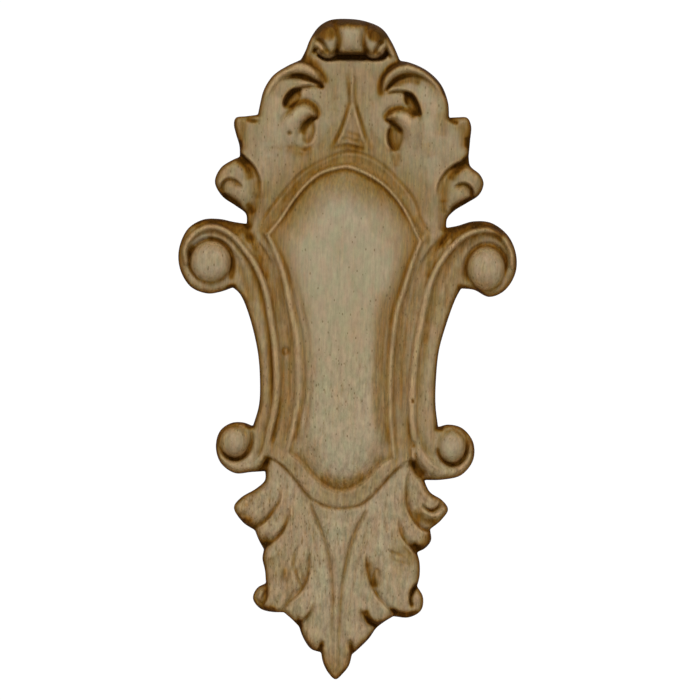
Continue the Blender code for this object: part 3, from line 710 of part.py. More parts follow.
def sample(A, R, x, y):
    """Bilinear reading of a map at points of the drawing."""
    u = np.clip((x - X_LO) / R.step, 0, R.nx - 1.001)
    v = np.clip((y - Y_LO) / R.step, 0, R.ny - 1.001)
    i, j = u.astype(int), v.astype(int)
    fu, fv = u - i, v - j
    return (A[j, i] * (1 - fu) * (1 - fv) + A[j, i + 1] * fu * (1 - fv) + A[j + 1, i] * (1 - fu) * fv + A[j + 1, i + 1] * fu * fv)


def front_net(R, k):
    """The relief as points (x, y on the drawing) and triangles that run counter-clockwise as seen from the front.
    Every k-th sample of the map is a node. Nodes next to the outline are moved onto it."""
    S = R.S[::k, ::k].copy()
    x, y = R.X[::k, ::k].copy(), R.Y[::k, ::k].copy()
    g = R.step * k
    gy, gx = np.gradient(S, g)
    m2 = np.maximum(gx * gx + gy * gy, 0.3)
    near = np.abs(S) < 0.38 * g
    x = np.where(near, x - S * gx / m2, x)
    y = np.where(near, y - S * gy / m2, y)
    S[near] = 0
    ny, nx = S.shape
    ids = -np.ones(S.shape, int)
    use = S >= 0
    # a node on the outline counts only if a neighbour is truly inside
    ids[use] = np.arange(use.sum())
    px, py = list(x[use]), list(y[use])
    cross = {}

    def crossing(a, b):
        key = (a, b) if a < b else (b, a)
        if key not in cross:
            s0, s1 = S[key[0]], S[key[1]]
            t = s0 / (s0 - s1)
            px.append(x[key[0]] * (1 - t) + x[key[1]] * t)
            py.append(y[key[0]] * (1 - t) + y[key[1]] * t)
            cross[key] = len(px) - 1
        return cross[key]

    c = np.stack([S[:-1, :-1], S[1:, :-1], S[1:, 1:], S[:-1, 1:]])
    full = (c >= 0).all(0) & (c > 0).any(0)
    part = (c > 0).any(0) & (c < 0).any(0)
    tris = []
    H = R.H[::k, ::k]
    tl, bl, br, tr = ids[:-1, :-1][full], ids[1:, :-1][full], ids[1:, 1:][full], ids[:-1, 1:][full]
    h = np.stack([H[:-1, :-1][full], H[1:, :-1][full], H[1:, 1:][full], H[:-1, 1:][full]])
    first = np.abs(h[0] - h[2]) <= np.abs(h[1] - h[3])
    tris.append(np.stack([tl, bl, br], 1)[first])
    tris.append(np.stack([tl, br, tr], 1)[first])
    tris.append(np.stack([tl, bl, tr], 1)[~first])
    tris.append(np.stack([bl, br, tr], 1)[~first])
    extra = []
    for j, i in zip(*np.nonzero(part)):
        corners = [(j, i), (j + 1, i), (j + 1, i + 1), (j, i + 1)]
        loop = []
        for n in range(4):
            a, b = corners[n], corners[(n + 1) % 4]
            if S[a] >= 0:
                loop.append(ids[a])
            if S[a] * S[b] < 0:
                loop.append(crossing(a, b))
        for n in range(1, len(loop) - 1):
            extra.append((loop[0], loop[n], loop[n + 1]))
    if extra:
        tris.append(np.array(extra))
    F = np.concatenate(tris)
    P = np.stack([px, py], 1)
    # drop triangles of no area and nodes that nothing uses
    a, b, cc = P[F[:, 0]], P[F[:, 1]], P[F[:, 2]]
    area = -((b - a)[:, 0] * (cc - a)[:, 1] - (b - a)[:, 1] * (cc - a)[:, 0])
    F = F[area > 1e-6]
    F = F[np.isin(F, one_body(F, len(P))).all(1)]
    used = np.unique(F)
    new = -np.ones(len(P), int)
    new[used] = np.arange(len(used))
    return P[used], new[F]


def one_body(F, n):
    """The nodes of the largest connected group of triangles."""
    label = np.arange(n)
    while True:
        low = label[F].min(1)
        nxt = label.copy()
        np.minimum.at(nxt, F[:, 0], low)
        np.minimum.at(nxt, F[:, 1], low)
        np.minimum.at(nxt, F[:, 2], low)
        nxt = nxt[nxt]
        if (nxt == label).all():
            break
        label = nxt
    names, count = np.unique(label[F[:, 0]], return_counts=True)
    return np.nonzero(label == names[count.argmax()])[0]


def rim_edges(F):
    """Directed edges that only one triangle has."""
    E = np.concatenate([F[:, [0, 1]], F[:, [1, 2]], F[:, [2, 0]]])
    key = E[:, 0].astype(np.int64) * (F.max() + 1) + E[:, 1]
    back = E[:, 1].astype(np.int64) * (F.max() + 1) + E[:, 0]
    return E[~np.isin(key, back)]


# ---------------------------------------------------------------- the solid
UNIT = PLAQUE_HEIGHT / math.hypot(AXIS_TOP[0] - AXIS_TIP[0], AXIS_TOP[1] - AXIS_TIP[1])
LEAN = math.atan2(AXIS_TOP[0] - AXIS_TIP[0], AXIS_TIP[1] - AXIS_TOP[1])
CENTRE = ((AXIS_TOP[0] + AXIS_TIP[0]) / 2, (AXIS_TOP[1] + AXIS_TIP[1]) / 2)


def upright(P, h):
    """Points of the drawing at height h above the back, as metres in the finished frame."""
    dx, dz = P[:, 0] - CENTRE[0], CENTRE[1] - P[:, 1]
    c, s = math.cos(LEAN), math.sin(LEAN)
    return np.stack([(dx * c - dz * s) * UNIT, -np.asarray(h) * UNIT, (dx * s + dz * c) * UNIT], 1)


def plaque():
    R = carve(SAMPLE)
    P, F = front_net(R, NODE_EVERY)
    h = sample(R.H, R, P[:, 0], P[:, 1])
    rim = rim_edges(F)
    on_rim = np.unique(rim)
    h[on_rim] = WALL
    n, m = len(P), len(on_rim)
    below = -np.ones(n, int)
    below[on_rim] = n + np.arange(m)
    a, b = rim[:, 0], rim[:, 1]
    walls = np.concatenate([np.stack([b, a, below[a]], 1), np.stack([b, below[a], below[b]], 1)])
    V = np.concatenate([upright(P, h), upright(P[on_rim], np.zeros(m))])
    mesh = bpy.data.meshes.new("shield_plaque")
    bm = bmesh.new()
    verts = [bm.verts.new(v) for v in V.tolist()]
    for tri in np.concatenate([F, walls]).tolist():
        bm.faces.new([verts[i] for i in tri])
    # the flat back is one face on the lower rim, then cut into triangles
    after = dict(zip(below[b].tolist(), below[a].tolist()))
    start = next(iter(after))
    loop, at = [start], after[start]
    while at != start:
        loop.append(at)
        at = after[at]
    if len(loop) != m:
        raise ValueError("the outline is not one loop")
    back = bm.faces.new([verts[i] for i in loop])
    back.normal_update()
    bmesh.ops.triangulate(bm, faces=[back])
    bm.to_mesh(mesh)
    bm.free()
    return mesh


def wood():
    """Pale hardwood under a brown glaze."""
    mat = bpy.data.materials.new("glazed_wood")
    mat.use_nodes = True
    shader = mat.node_tree.nodes["Principled BSDF"]
    shader.inputs["Base Color"].default_value = (0.31, 0.235, 0.145, 1.0)
    shader.inputs["Roughness"].default_value = 0.62
    shader.inputs["Metallic"].default_value = 0.0
    return mat


for old in list(bpy.data.objects):
    bpy.data.objects.remove(old)
body = plaque()
body.materials.append(wood())
piece = bpy.data.objects.new("shield_plaque", body)
bpy.context.scene.collection.objects.link(piece)
thin = piece.modifiers.new("thin", "DECIMATE")
thin.ratio = TRIANGLES / len(body.polygons)
for face in body.polygons:
    face.use_smooth = True
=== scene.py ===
"""The shield wall plaque, front, sides and back, as a finely carved and glazed piece of wood."""

import math

import bpy
import numpy as np
from mathutils import Matrix, Vector
from mathutils.geometry import delaunay_2d_cdt


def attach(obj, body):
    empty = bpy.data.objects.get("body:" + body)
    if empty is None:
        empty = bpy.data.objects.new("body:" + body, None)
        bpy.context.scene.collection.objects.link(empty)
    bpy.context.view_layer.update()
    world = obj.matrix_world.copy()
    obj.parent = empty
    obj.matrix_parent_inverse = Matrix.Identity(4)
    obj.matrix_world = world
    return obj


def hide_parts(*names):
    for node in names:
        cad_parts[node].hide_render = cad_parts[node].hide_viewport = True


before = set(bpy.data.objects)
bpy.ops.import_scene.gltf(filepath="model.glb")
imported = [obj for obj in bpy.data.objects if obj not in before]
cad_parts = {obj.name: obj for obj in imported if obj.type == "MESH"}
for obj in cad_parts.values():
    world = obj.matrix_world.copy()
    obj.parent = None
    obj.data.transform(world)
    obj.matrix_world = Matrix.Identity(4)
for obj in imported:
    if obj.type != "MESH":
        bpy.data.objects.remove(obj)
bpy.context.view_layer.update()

# ---------------------------------------------------------------- driving sizes, the same as the solid's
PLAQUE_HEIGHT = 0.250
AXIS_TOP = (352.5, 19.2)
AXIS_TIP = (335.5, 679.0)
SAMPLE = 0.6                   # drawing units between samples of the relief
NODE_EVERY = 2                 # samples between mesh nodes
SOFTEN = 0.95
PICTURE = 700.0                # drawing units across the picture
CAMERA_AWAY = 4.0              # metres
# heights above the back, drawing units
WALL = 14.0                    # straight side wall, before the front edge rounds over
EDGE_ROUND = 6.5               # width of that rounding
CREST_GROUND, LEAF_GROUND = 25.0, 25.0
LIP_TOP = 37.0                 # rolled lips of the two upper curls
CURL_BASE, CURL_RISE = 22.0, 15.5   # the curled ends below those lips
STEM_TOP = 34.0                # ridge of the side stems
STEM_CHANNEL = 27.0            # bottom of the channel beside that ridge
BEAD_TOP = 34.5                # moulding round the field
SILL_TOP = 33.0                # flat moulding under the field
FIELD_EDGE, FIELD_RISE, FIELD_CROWN = 31.0, 10.0, 2.0
FIELD_RAMP = (46.0, 24.0, 33.0, 22.0)   # widths of the field's slopes: top, right, bottom, left
SCROLL_BASE, SCROLL_BALL = 23.0, 17.0
FOOT_BASE, FOOT_BALL = 20.0, 15.0
KNOB_BASE, KNOB_RISE = 24.0, 20.0

# ------------------------------------------------------------------ drawing frame
X_LO, X_HI, Y_LO, Y_HI = 170.0, 528.0, 10.0, 690.0


def spline(points, step=1.5, closed=False):
    """Centripetal Catmull-Rom curve through the points, as a polyline with spacing near step."""
    P = [np.array(p[:2], float) for p in points]
    if len(P) == 2:
        n = max(2, int(np.linalg.norm(P[1] - P[0]) / step) + 1)
        return np.linspace(P[0], P[1], n)
    if closed:
        Q = [P[-1]] + P + [P[0], P[1]]
    else:
        Q = [2 * P[0] - P[1]] + P + [2 * P[-1] - P[-2]]
    out = []
    for i in range(1, len(Q) - 2):
        p0, p1, p2, p3 = Q[i - 1], Q[i], Q[i + 1], Q[i + 2]
        t0 = 0.0
        t1 = t0 + max(np.linalg.norm(p1 - p0), 1e-6) ** 0.5
        t2 = t1 + max(np.linalg.norm(p2 - p1), 1e-6) ** 0.5
        t3 = t2 + max(np.linalg.norm(p3 - p2), 1e-6) ** 0.5
        n = max(2, int(np.linalg.norm(p2 - p1) / step) + 1)
        for t in np.linspace(t1, t2, n, endpoint=False):
            a1 = (t1 - t) / (t1 - t0) * p0 + (t - t0) / (t1 - t0) * p1
            a2 = (t2 - t) / (t2 - t1) * p1 + (t - t1) / (t2 - t1) * p2
            a3 = (t3 - t) / (t3 - t2) * p2 + (t - t2) / (t3 - t2) * p3
            b1 = (t2 - t) / (t2 - t0) * a1 + (t - t0) / (t2 - t0) * a2
            b2 = (t3 - t) / (t3 - t1) * a2 + (t - t1) / (t3 - t1) * a3
            out.append((t2 - t) / (t2 - t1) * b1 + (t - t1) / (t2 - t1) * b2)
    if not closed:
        out.append(P[-1])
    return np.array(out)


def chain(*segments, step=1.5):
    """Closed outline of several splines that meet at sharp corners."""
    parts = [spline(s, step)[:-1] for s in segments]
    return np.concatenate(parts)


class Raster:
    """A height map over the drawing, sampled every `step` units."""

    def __init__(self, step):
        self.step = step
        self.nx = int((X_HI - X_LO) / step) + 1
        self.ny = int((Y_HI - Y_LO) / step) + 1
        self.x = X_LO + step * np.arange(self.nx)
        self.y = Y_LO + step * np.arange(self.ny)
        self.X, self.Y = np.meshgrid(self.x, self.y)
        self.H = np.zeros_like(self.X)

    def window(self, x0, x1, y0, y1):
        i0 = max(0, int((x0 - X_LO) / self.step))
        i1 = min(self.nx, int((x1 - X_LO) / self.step) + 2)
        j0 = max(0, int((y0 - Y_LO) / self.step))
        j1 = min(self.ny, int((y1 - Y_LO) / self.step) + 2)
        return slice(j0, j1), slice(i0, i1)

    def distance(self, line, reach, closed=False):
        """(distance, share of the length, side) of every sample to a polyline, within reach. Side is +1 left of
        the direction of travel as seen on the drawing with y down, i.e. the right hand in a y-up view is -1."""
        P = np.asarray(line, float)
        if closed:
            P = np.vstack([P, P[:1]])
        D = np.full(self.X.shape, 1e12)
        T = np.zeros(self.X.shape)
        G = np.zeros(self.X.shape)
        L = np.hypot(*(P[1:] - P[:-1]).T)
        cum = np.concatenate([[0], np.cumsum(L)])
        total = cum[-1]
        for i in range(len(P) - 1):
            a, b = P[i], P[i + 1]
            if L[i] < 1e-9:
                continue
            w = self.window(min(a[0], b[0]) - reach, max(a[0], b[0]) + reach, min(a[1], b[1]) - reach, max(a[1], b[1]) + reach)
            px, py = self.X[w] - a[0], self.Y[w] - a[1]
            bx, by = b - a
            s = np.clip((px * bx + py * by) / L[i] ** 2, 0, 1)
            dd = (px - s * bx) ** 2 + (py - s * by) ** 2
            m = dd < D[w]
            D[w][m] = dd[m]
            T[w][m] = ((cum[i] + s * L[i]) / total)[m]
            G[w][m] = np.sign(px * by - py * bx)[m]
        D = np.sqrt(D)
        D[D > reach] = 1e6
        return D, T, G

    def inside(self, line):
        """Even-odd test of every sample against a closed polyline."""
        P = np.asarray(line, float)
        Q = np.roll(P, -1, axis=0)
        hit = np.zeros(self.X.shape, bool)
        for (x0, y0), (x1, y1) in zip(P, Q):
            if y0 == y1:
                continue
            lo, hi = (y0, y1) if y0 < y1 else (y1, y0)
            j0 = max(0, int(math.ceil((lo - Y_LO) / self.step)))
            j1 = min(self.ny, int(math.ceil((hi - Y_LO) / self.step)))
            if j1 <= j0:
                continue
            xs = x0 + (self.y[j0:j1] - y0) * (x1 - x0) / (y1 - y0)
            hit[j0:j1] ^= self.X[j0:j1] < xs[:, None]
        return hit

    def signed(self, line, reach):
        """Distance to a closed polyline, positive inside and negative outside."""
        D, T, _ = self.distance(line, reach, closed=True)
        D = np.minimum(D, reach)
        return np.where(self.inside(line), D, -D), T


def smooth(u):
    u = np.clip(u, 0, 1)
    return u * u * (3 - 2 * u)


def along(t, values):
    """Interpolates a list of values, or of (share, value) pairs, over the share t of a curve's length."""
    if np.isscalar(values):
        return values
    if np.ndim(values[0]) == 0:
        k = np.linspace(0, 1, len(values))
        v = values
    else:
        k, v = zip(*values)
    return np.interp(t, k, v)


def pillow(u, p=2.0):
    """0 at the edge, rising steeply and flattening to 1 at u = 1."""
    u = np.clip(u, 0, 1)
    return (1 - (1 - u) ** p) ** (1 / p)


def blur(A, sigma):
    """Separable Gaussian blur, sigma in samples."""
    if sigma <= 0:
        return A
    r = max(1, int(3 * sigma + 0.5))
    k = np.exp(-0.5 * (np.arange(-r, r + 1) / sigma) ** 2)
    k /= k.sum()
    out = A
    for axis in (0, 1):
        pad = [(0, 0), (0, 0)]
        pad[axis] = (r, r)
        B = np.pad(out, pad, mode="edge")
        acc = np.zeros_like(A)
        for i, kk in enumerate(k):
            sl = [slice(None), slice(None)]
            sl[axis] = slice(i, i + A.shape[axis])
            acc += kk * B[tuple(sl)]
        out = acc
    return out

# ------------------------------------------------------------------ outline strokes, drawn clockwise from the knob
KNOB = [(301, 60), (306, 50), (309, 42), (314, 33), (320, 26), (330, 20.5), (347, 19.2), (365, 21.5), (382, 29), (392, 43), (400, 61)]
CREST_R = [(400, 61), (410, 63), (427, 71), (441, 85), (448, 103), (449, 118)]
EAR_R = [(449, 118), (458, 117.5), (467, 118), (471, 126), (470, 141), (468.5, 157)]
CURL_R = [(468.5, 157), (470, 166), (480, 175), (483.5, 184), (479, 195), (467, 203), (454, 211), (447, 219), (446, 228)]
SCROLL_R = [(446, 228), (457, 226), (473, 221.5), (491, 223), (508, 236), (516, 255), (515, 274), (504, 291), (489, 297), (474, 290), (461, 288.5)]
WAIST_R = [(461, 288.5), (455, 300), (446, 325), (439, 350), (436, 378), (435.5, 405), (438, 427)]
BALL_R = [(438, 427), (448, 424.5), (462, 428), (473, 442), (473, 460), (461, 475), (443, 479.5), (424, 480)]
LEAF_R1 = [(424, 480), (430, 492), (442, 500), (448, 509), (441, 520), (430, 529)]
LEAF_R2 = [(430, 529), (431, 540), (425, 548), (417, 552)]
LEAF_R3 = [(417, 552), (419.5, 562), (419.5, 576), (417, 586)]
LEAF_R4 = [(417, 586), (423, 597), (421, 610), (409, 617), (393, 616)]
LEAF_R5 = [(393, 616), (382, 623), (376, 628), (369, 638), (359, 648), (352, 654)]
LEAF_TIP = [(352, 654), (349, 665), (343, 673), (335.5, 679), (328, 672), (323, 662), (321, 652)]
LEAF_L5 = [(321, 652), (311, 648.5), (303, 637), (299, 626)]
LEAF_L4 = [(299, 626), (292, 619), (284, 612)]
LEAF_L3 = [(284, 612), (271, 611.5), (260, 608), (253, 598), (257, 588), (266, 583)]
LEAF_L2 = [(266, 583), (265, 570), (262.5, 558), (264, 549)]
LEAF_L1B = [(264, 549), (259, 540), (255, 530)]
LEAF_L1 = [(255, 530), (243, 522), (234, 507), (241, 497.5), (256, 488.5), (265, 480), (265.5, 471)]
BALL_L = [(265.5, 471), (251, 472), (235, 473), (221, 463), (216, 447), (220, 431), (231, 423), (243, 422.3), (253, 426)]
WAIST_L = [(253, 426), (259, 405), (260, 380), (257.5, 350), (248, 312), (240, 294), (233, 287.5)]
SCROLL_L = [(233, 287.5), (220, 292), (207, 293.5), (191, 287), (180.5, 270), (179, 250), (188, 229), (203, 219.8), (219, 219), (234, 222), (247, 224)]
CURL_L = [(247, 224), (246, 214), (236, 206), (222, 196), (215, 182), (221, 168), (232, 160.5), (240, 157)]
EAR_L = [(240, 157), (239.5, 146), (236, 134), (234, 124), (236, 118), (246, 116.5), (258, 115)]
CREST_L = [(258, 115), (260, 105), (264, 90), (273, 76), (286, 67), (301, 60)]
OUTLINE = [KNOB, CREST_R, EAR_R, CURL_R, SCROLL_R, WAIST_R, BALL_R, LEAF_R1, LEAF_R2, LEAF_R3, LEAF_R4, LEAF_R5, LEAF_TIP,
           LEAF_L5, LEAF_L4, LEAF_L3, LEAF_L2, LEAF_L1B, LEAF_L1, BALL_L, WAIST_L, SCROLL_L, CURL_L, EAR_L, CREST_L]

# ------------------------------------------------------------------ frame rails
ARCH_OUT = [(257, 232), (262, 222), (275, 203), (288, 187), (301, 173), (318, 163), (338, 154), (352, 152), (368, 156), (383, 165), (399, 181), (413, 198), (420, 217), (429, 234), (430.5, 243)]
ARCH_BEAD = [(268, 235.5), (282, 218.5), (293, 202), (306, 186), (321, 174), (338, 168.5), (347, 167.5), (361, 172), (380, 183), (395, 198), (407, 216), (420, 242)]
BEAD_L = [(268, 235.5), (275, 250), (284, 275), (290.5, 305), (297, 335), (299, 365), (299, 395), (295, 420), (287.5, 450)]
BEAD_R = [(420, 242), (411, 266), (404, 288), (397, 310), (392, 345), (390, 375), (390, 410), (391.5, 435), (394, 457)]
SILL_IN = [(287.5, 450), (301, 461.5), (316, 478.5), (330, 488), (342, 490.5), (356, 486), (370, 475), (381, 463.5), (394, 457)]
SILL_OUT = [(269, 456), (282, 464.5), (296, 480), (311, 498), (326, 506), (342, 508), (358, 505), (372, 495), (389, 476), (402, 464.5), (413, 460)]
STEM_L = [(186, 262), (184.5, 250), (190, 239), (202, 229.5), (214, 227), (230, 234), (245, 250), (257, 268), (265, 288), (271, 318), (275.5, 350), (277, 380), (275, 408), (270, 430), (265.5, 448), (259, 463)]
STEM_R = [(513, 266), (512, 253), (504, 239), (494, 232), (485, 230), (470, 233.5), (457, 242), (443, 258), (433, 276), (425.5, 300), (418, 338), (413.5, 372), (412, 402), (413, 430), (418, 447), (427, 461), (437, 470)]


# ------------------------------------------------------------------ the curled ends below the lips of the crest
CURL_END_L = [(284, 114), (289, 108.8), (296, 103.4), (304, 100.4), (311.5, 103), (316.8, 108.6), (318.8, 115), (317, 119.5), (311, 120.5), (306.5, 123.5),
              (303, 128), (300.5, 135), (298, 148), (280, 150), (276, 127)]
CURL_END_R = [(422, 114.5), (414, 113.2), (407, 109.2), (400, 107.8), (393, 109.2), (388, 113), (384.5, 118.5), (386.5, 121.5), (392, 122.5), (397, 127), (401, 132.5),
              (402.5, 140), (402, 150), (418, 150), (425, 130)]

# ------------------------------------------------------------------ the two lines beside the leaf's stem
LEAF_LINES = ([(309, 497), (313, 510), (320, 526), (326, 543), (330, 562), (332, 580), (332.6, 600), (331.6, 625), (331.4, 654)],
              [(367, 509), (358, 525), (351.5, 541), (346.5, 560), (343, 578), (341, 598), (340, 625), (339.7, 657)])


def taper(t, ends):
    a, b = ends
    w = np.ones_like(t)
    if a > 0:
        w = w * smooth(t / a)
    if b > 0:
        w = w * smooth((1 - t) / b)
    return w


class Carving(Raster):
    def groove(self, pts, depth, half, ends=(0.15, 0.15), where=None):
        D, T, _ = self.distance(spline(pts), 1.01 * np.max(half))
        u = np.clip(D / along(T, half), 0, 1)
        self.H -= along(T, depth) * taper(T, ends) * (1 - u * u) ** 2 * (1 if where is None else where)

    def ridge(self, pts, height, half, ends=(0.15, 0.15), where=None):
        self.groove(pts, -np.asarray(height) if not np.isscalar(height) else -height, half, ends, where)

    def edge(self, pts, drop, low, lift=0.0, high=5.0, side=1, ends=(0.12, 0.12), where=None):
        """An overlapping edge. The ground on `side` is cut down by `drop` at the line and comes back over `low`.
        The other side is raised by `lift` and falls back over `high`."""
        reach = 1.01 * max(np.max(low), np.max(high))
        D, T, G = self.distance(spline(pts), reach)
        w = taper(T, ends)
        if where is not None:
            w = w * where
        below = (G * side > 0)
        u = np.clip(D / along(T, low), 0, 1)
        v = np.clip(D / along(T, high), 0, 1)
        self.H -= np.where(below, along(T, drop) * w * (1 - smooth(u)), 0)
        self.H += np.where(~below, along(T, lift) * w * (1 - smooth(v)), 0)

    def ball(self, cx, cy, rx, ry, base, height, angle=0.0):
        c, s = math.cos(math.radians(angle)), math.sin(math.radians(angle))
        dx, dy = self.X - cx, self.Y - cy
        r2 = ((dx * c + dy * s) / rx) ** 2 + ((-dx * s + dy * c) / ry) ** 2
        top = base + height * np.sqrt(np.clip(1 - r2, 0, 1))
        self.H = np.where(r2 < 1, np.maximum(self.H, top), self.H)

    def flutes(self, a, b, count, depth, half, ends=(0.3, 0.3), where=None):
        """Shallow hollows side by side between two lines, each a little different."""
        A, B = (spline(p)[np.linspace(0, len(spline(p)) - 1, 9).astype(int)] for p in (a, b))
        for k in range(1, count + 1):
            u = (k + 0.22 * math.sin(5.1 * k)) / (count + 1)
            self.groove(A * (1 - u) + B * u, depth * (1 + 0.45 * math.sin(2.4 * k)), half * (1 + 0.25 * math.cos(1.7 * k)), ends, where)

    def mound(self, cx, cy, rx, ry, height, angle=0.0, power=2.0, where=None):
        c, s = math.cos(math.radians(angle)), math.sin(math.radians(angle))
        dx, dy = self.X - cx, self.Y - cy
        r2 = ((dx * c + dy * s) / rx) ** 2 + ((-dx * s + dy * c) / ry) ** 2
        self.H += height * np.clip(1 - r2, 0, 1) ** power * (1 if where is None else where)

    def tube(self, pts, half, top, belly=1.0, flat=2.0, ends=(0, 0)):
        """A roll along a line: `top` is its crest height, `belly` how far its flanks fall at `half` from the line."""
        D, T, _ = self.distance(spline(pts), 1.01 * np.max(half))
        h = along(T, half)
        u = np.clip(D / h, 0, 1)
        z = along(T, top) - along(T, belly) * (1 - (1 - u ** flat) ** (1 / flat))
        if ends[0] or ends[1]:
            z = z - along(T, belly) * (1 - taper(T, ends))
        self.H = np.where(D < h, np.maximum(self.H, z), self.H)

    def strip(self, a, b, ha, hb, bulge=0.0, mode="set"):
        """The surface between two rails: ha at rail a, hb at rail b, `bulge` above the straight line between them."""
        A, B = spline(a), spline(b)
        mask = self.inside(np.vstack([A, B[::-1]]))
        DA, TA, _ = self.distance(A, 60)
        DB, TB, _ = self.distance(B, 60)
        u = DA / (DA + DB + 1e-9)
        z = along(TA, ha) * (1 - u) + along(TB, hb) * u + along(TA, bulge) * 4 * u * (1 - u)
        if mode == "set":
            self.H = np.where(mask, z, self.H)
        else:
            self.H = np.where(mask, np.maximum(self.H, z), self.H)

    def between(self, a, b, soft):
        """1 between two rails and 0 outside, over a band `soft` wide."""
        S, _ = self.signed(np.vstack([spline(a), spline(b)[::-1]]), 3 * soft)
        return smooth(0.5 + S / (2 * soft))

    def soften(self, cx, cy, rx, ry, sigma, angle=0.0):
        """Wears the relief soft round a point."""
        c, q = math.cos(math.radians(angle)), math.sin(math.radians(angle))
        w = self.window(cx - rx - ry - 3 * sigma, cx + rx + ry + 3 * sigma, cy - rx - ry - 3 * sigma, cy + rx + ry + 3 * sigma)
        dx, dy = self.X[w] - cx, self.Y[w] - cy
        r2 = ((dx * c + dy * q) / rx) ** 2 + ((-dx * q + dy * c) / ry) ** 2
        m = smooth(1.6 * (1 - r2))
        self.H[w] = self.H[w] * (1 - m) + blur(self.H[w], sigma / self.step) * m

    def pit(self, loop, depth, wall, closed_line=True, step=1.5):
        """A hollow with walls `wall` wide inside a closed loop."""
        S, _ = self.signed(spline(loop, step, closed=True), 1.05 * max(wall, 4) + 4)
        self.H -= depth * pillow(S / wall)

    def raise_(self, loop, height, wall):
        self.pit(loop, -height, wall)


def side_of(pts, point):
    """+1 or -1, the side of the line on which the point lies."""
    P = spline(pts)
    a, b = P[:-1], P[1:]
    p = np.array(point, float)
    L2 = ((b - a) ** 2).sum(1) + 1e-12
    s = np.clip(((p - a) * (b - a)).sum(1) / L2, 0, 1)
    d = ((p - a - s[:, None] * (b - a)) ** 2).sum(1)
    i = int(np.argmin(d))
    v, w = p - a[i], b[i] - a[i]
    return 1 if v[0] * w[1] - v[1] * w[0] > 0 else -1


def step(R, pts, low_at, drop, low, lift=0.0, high=5.0, ends=(0.12, 0.12), where=None):
    R.edge(pts, drop, low, lift, high, side_of(pts, low_at), ends, where)


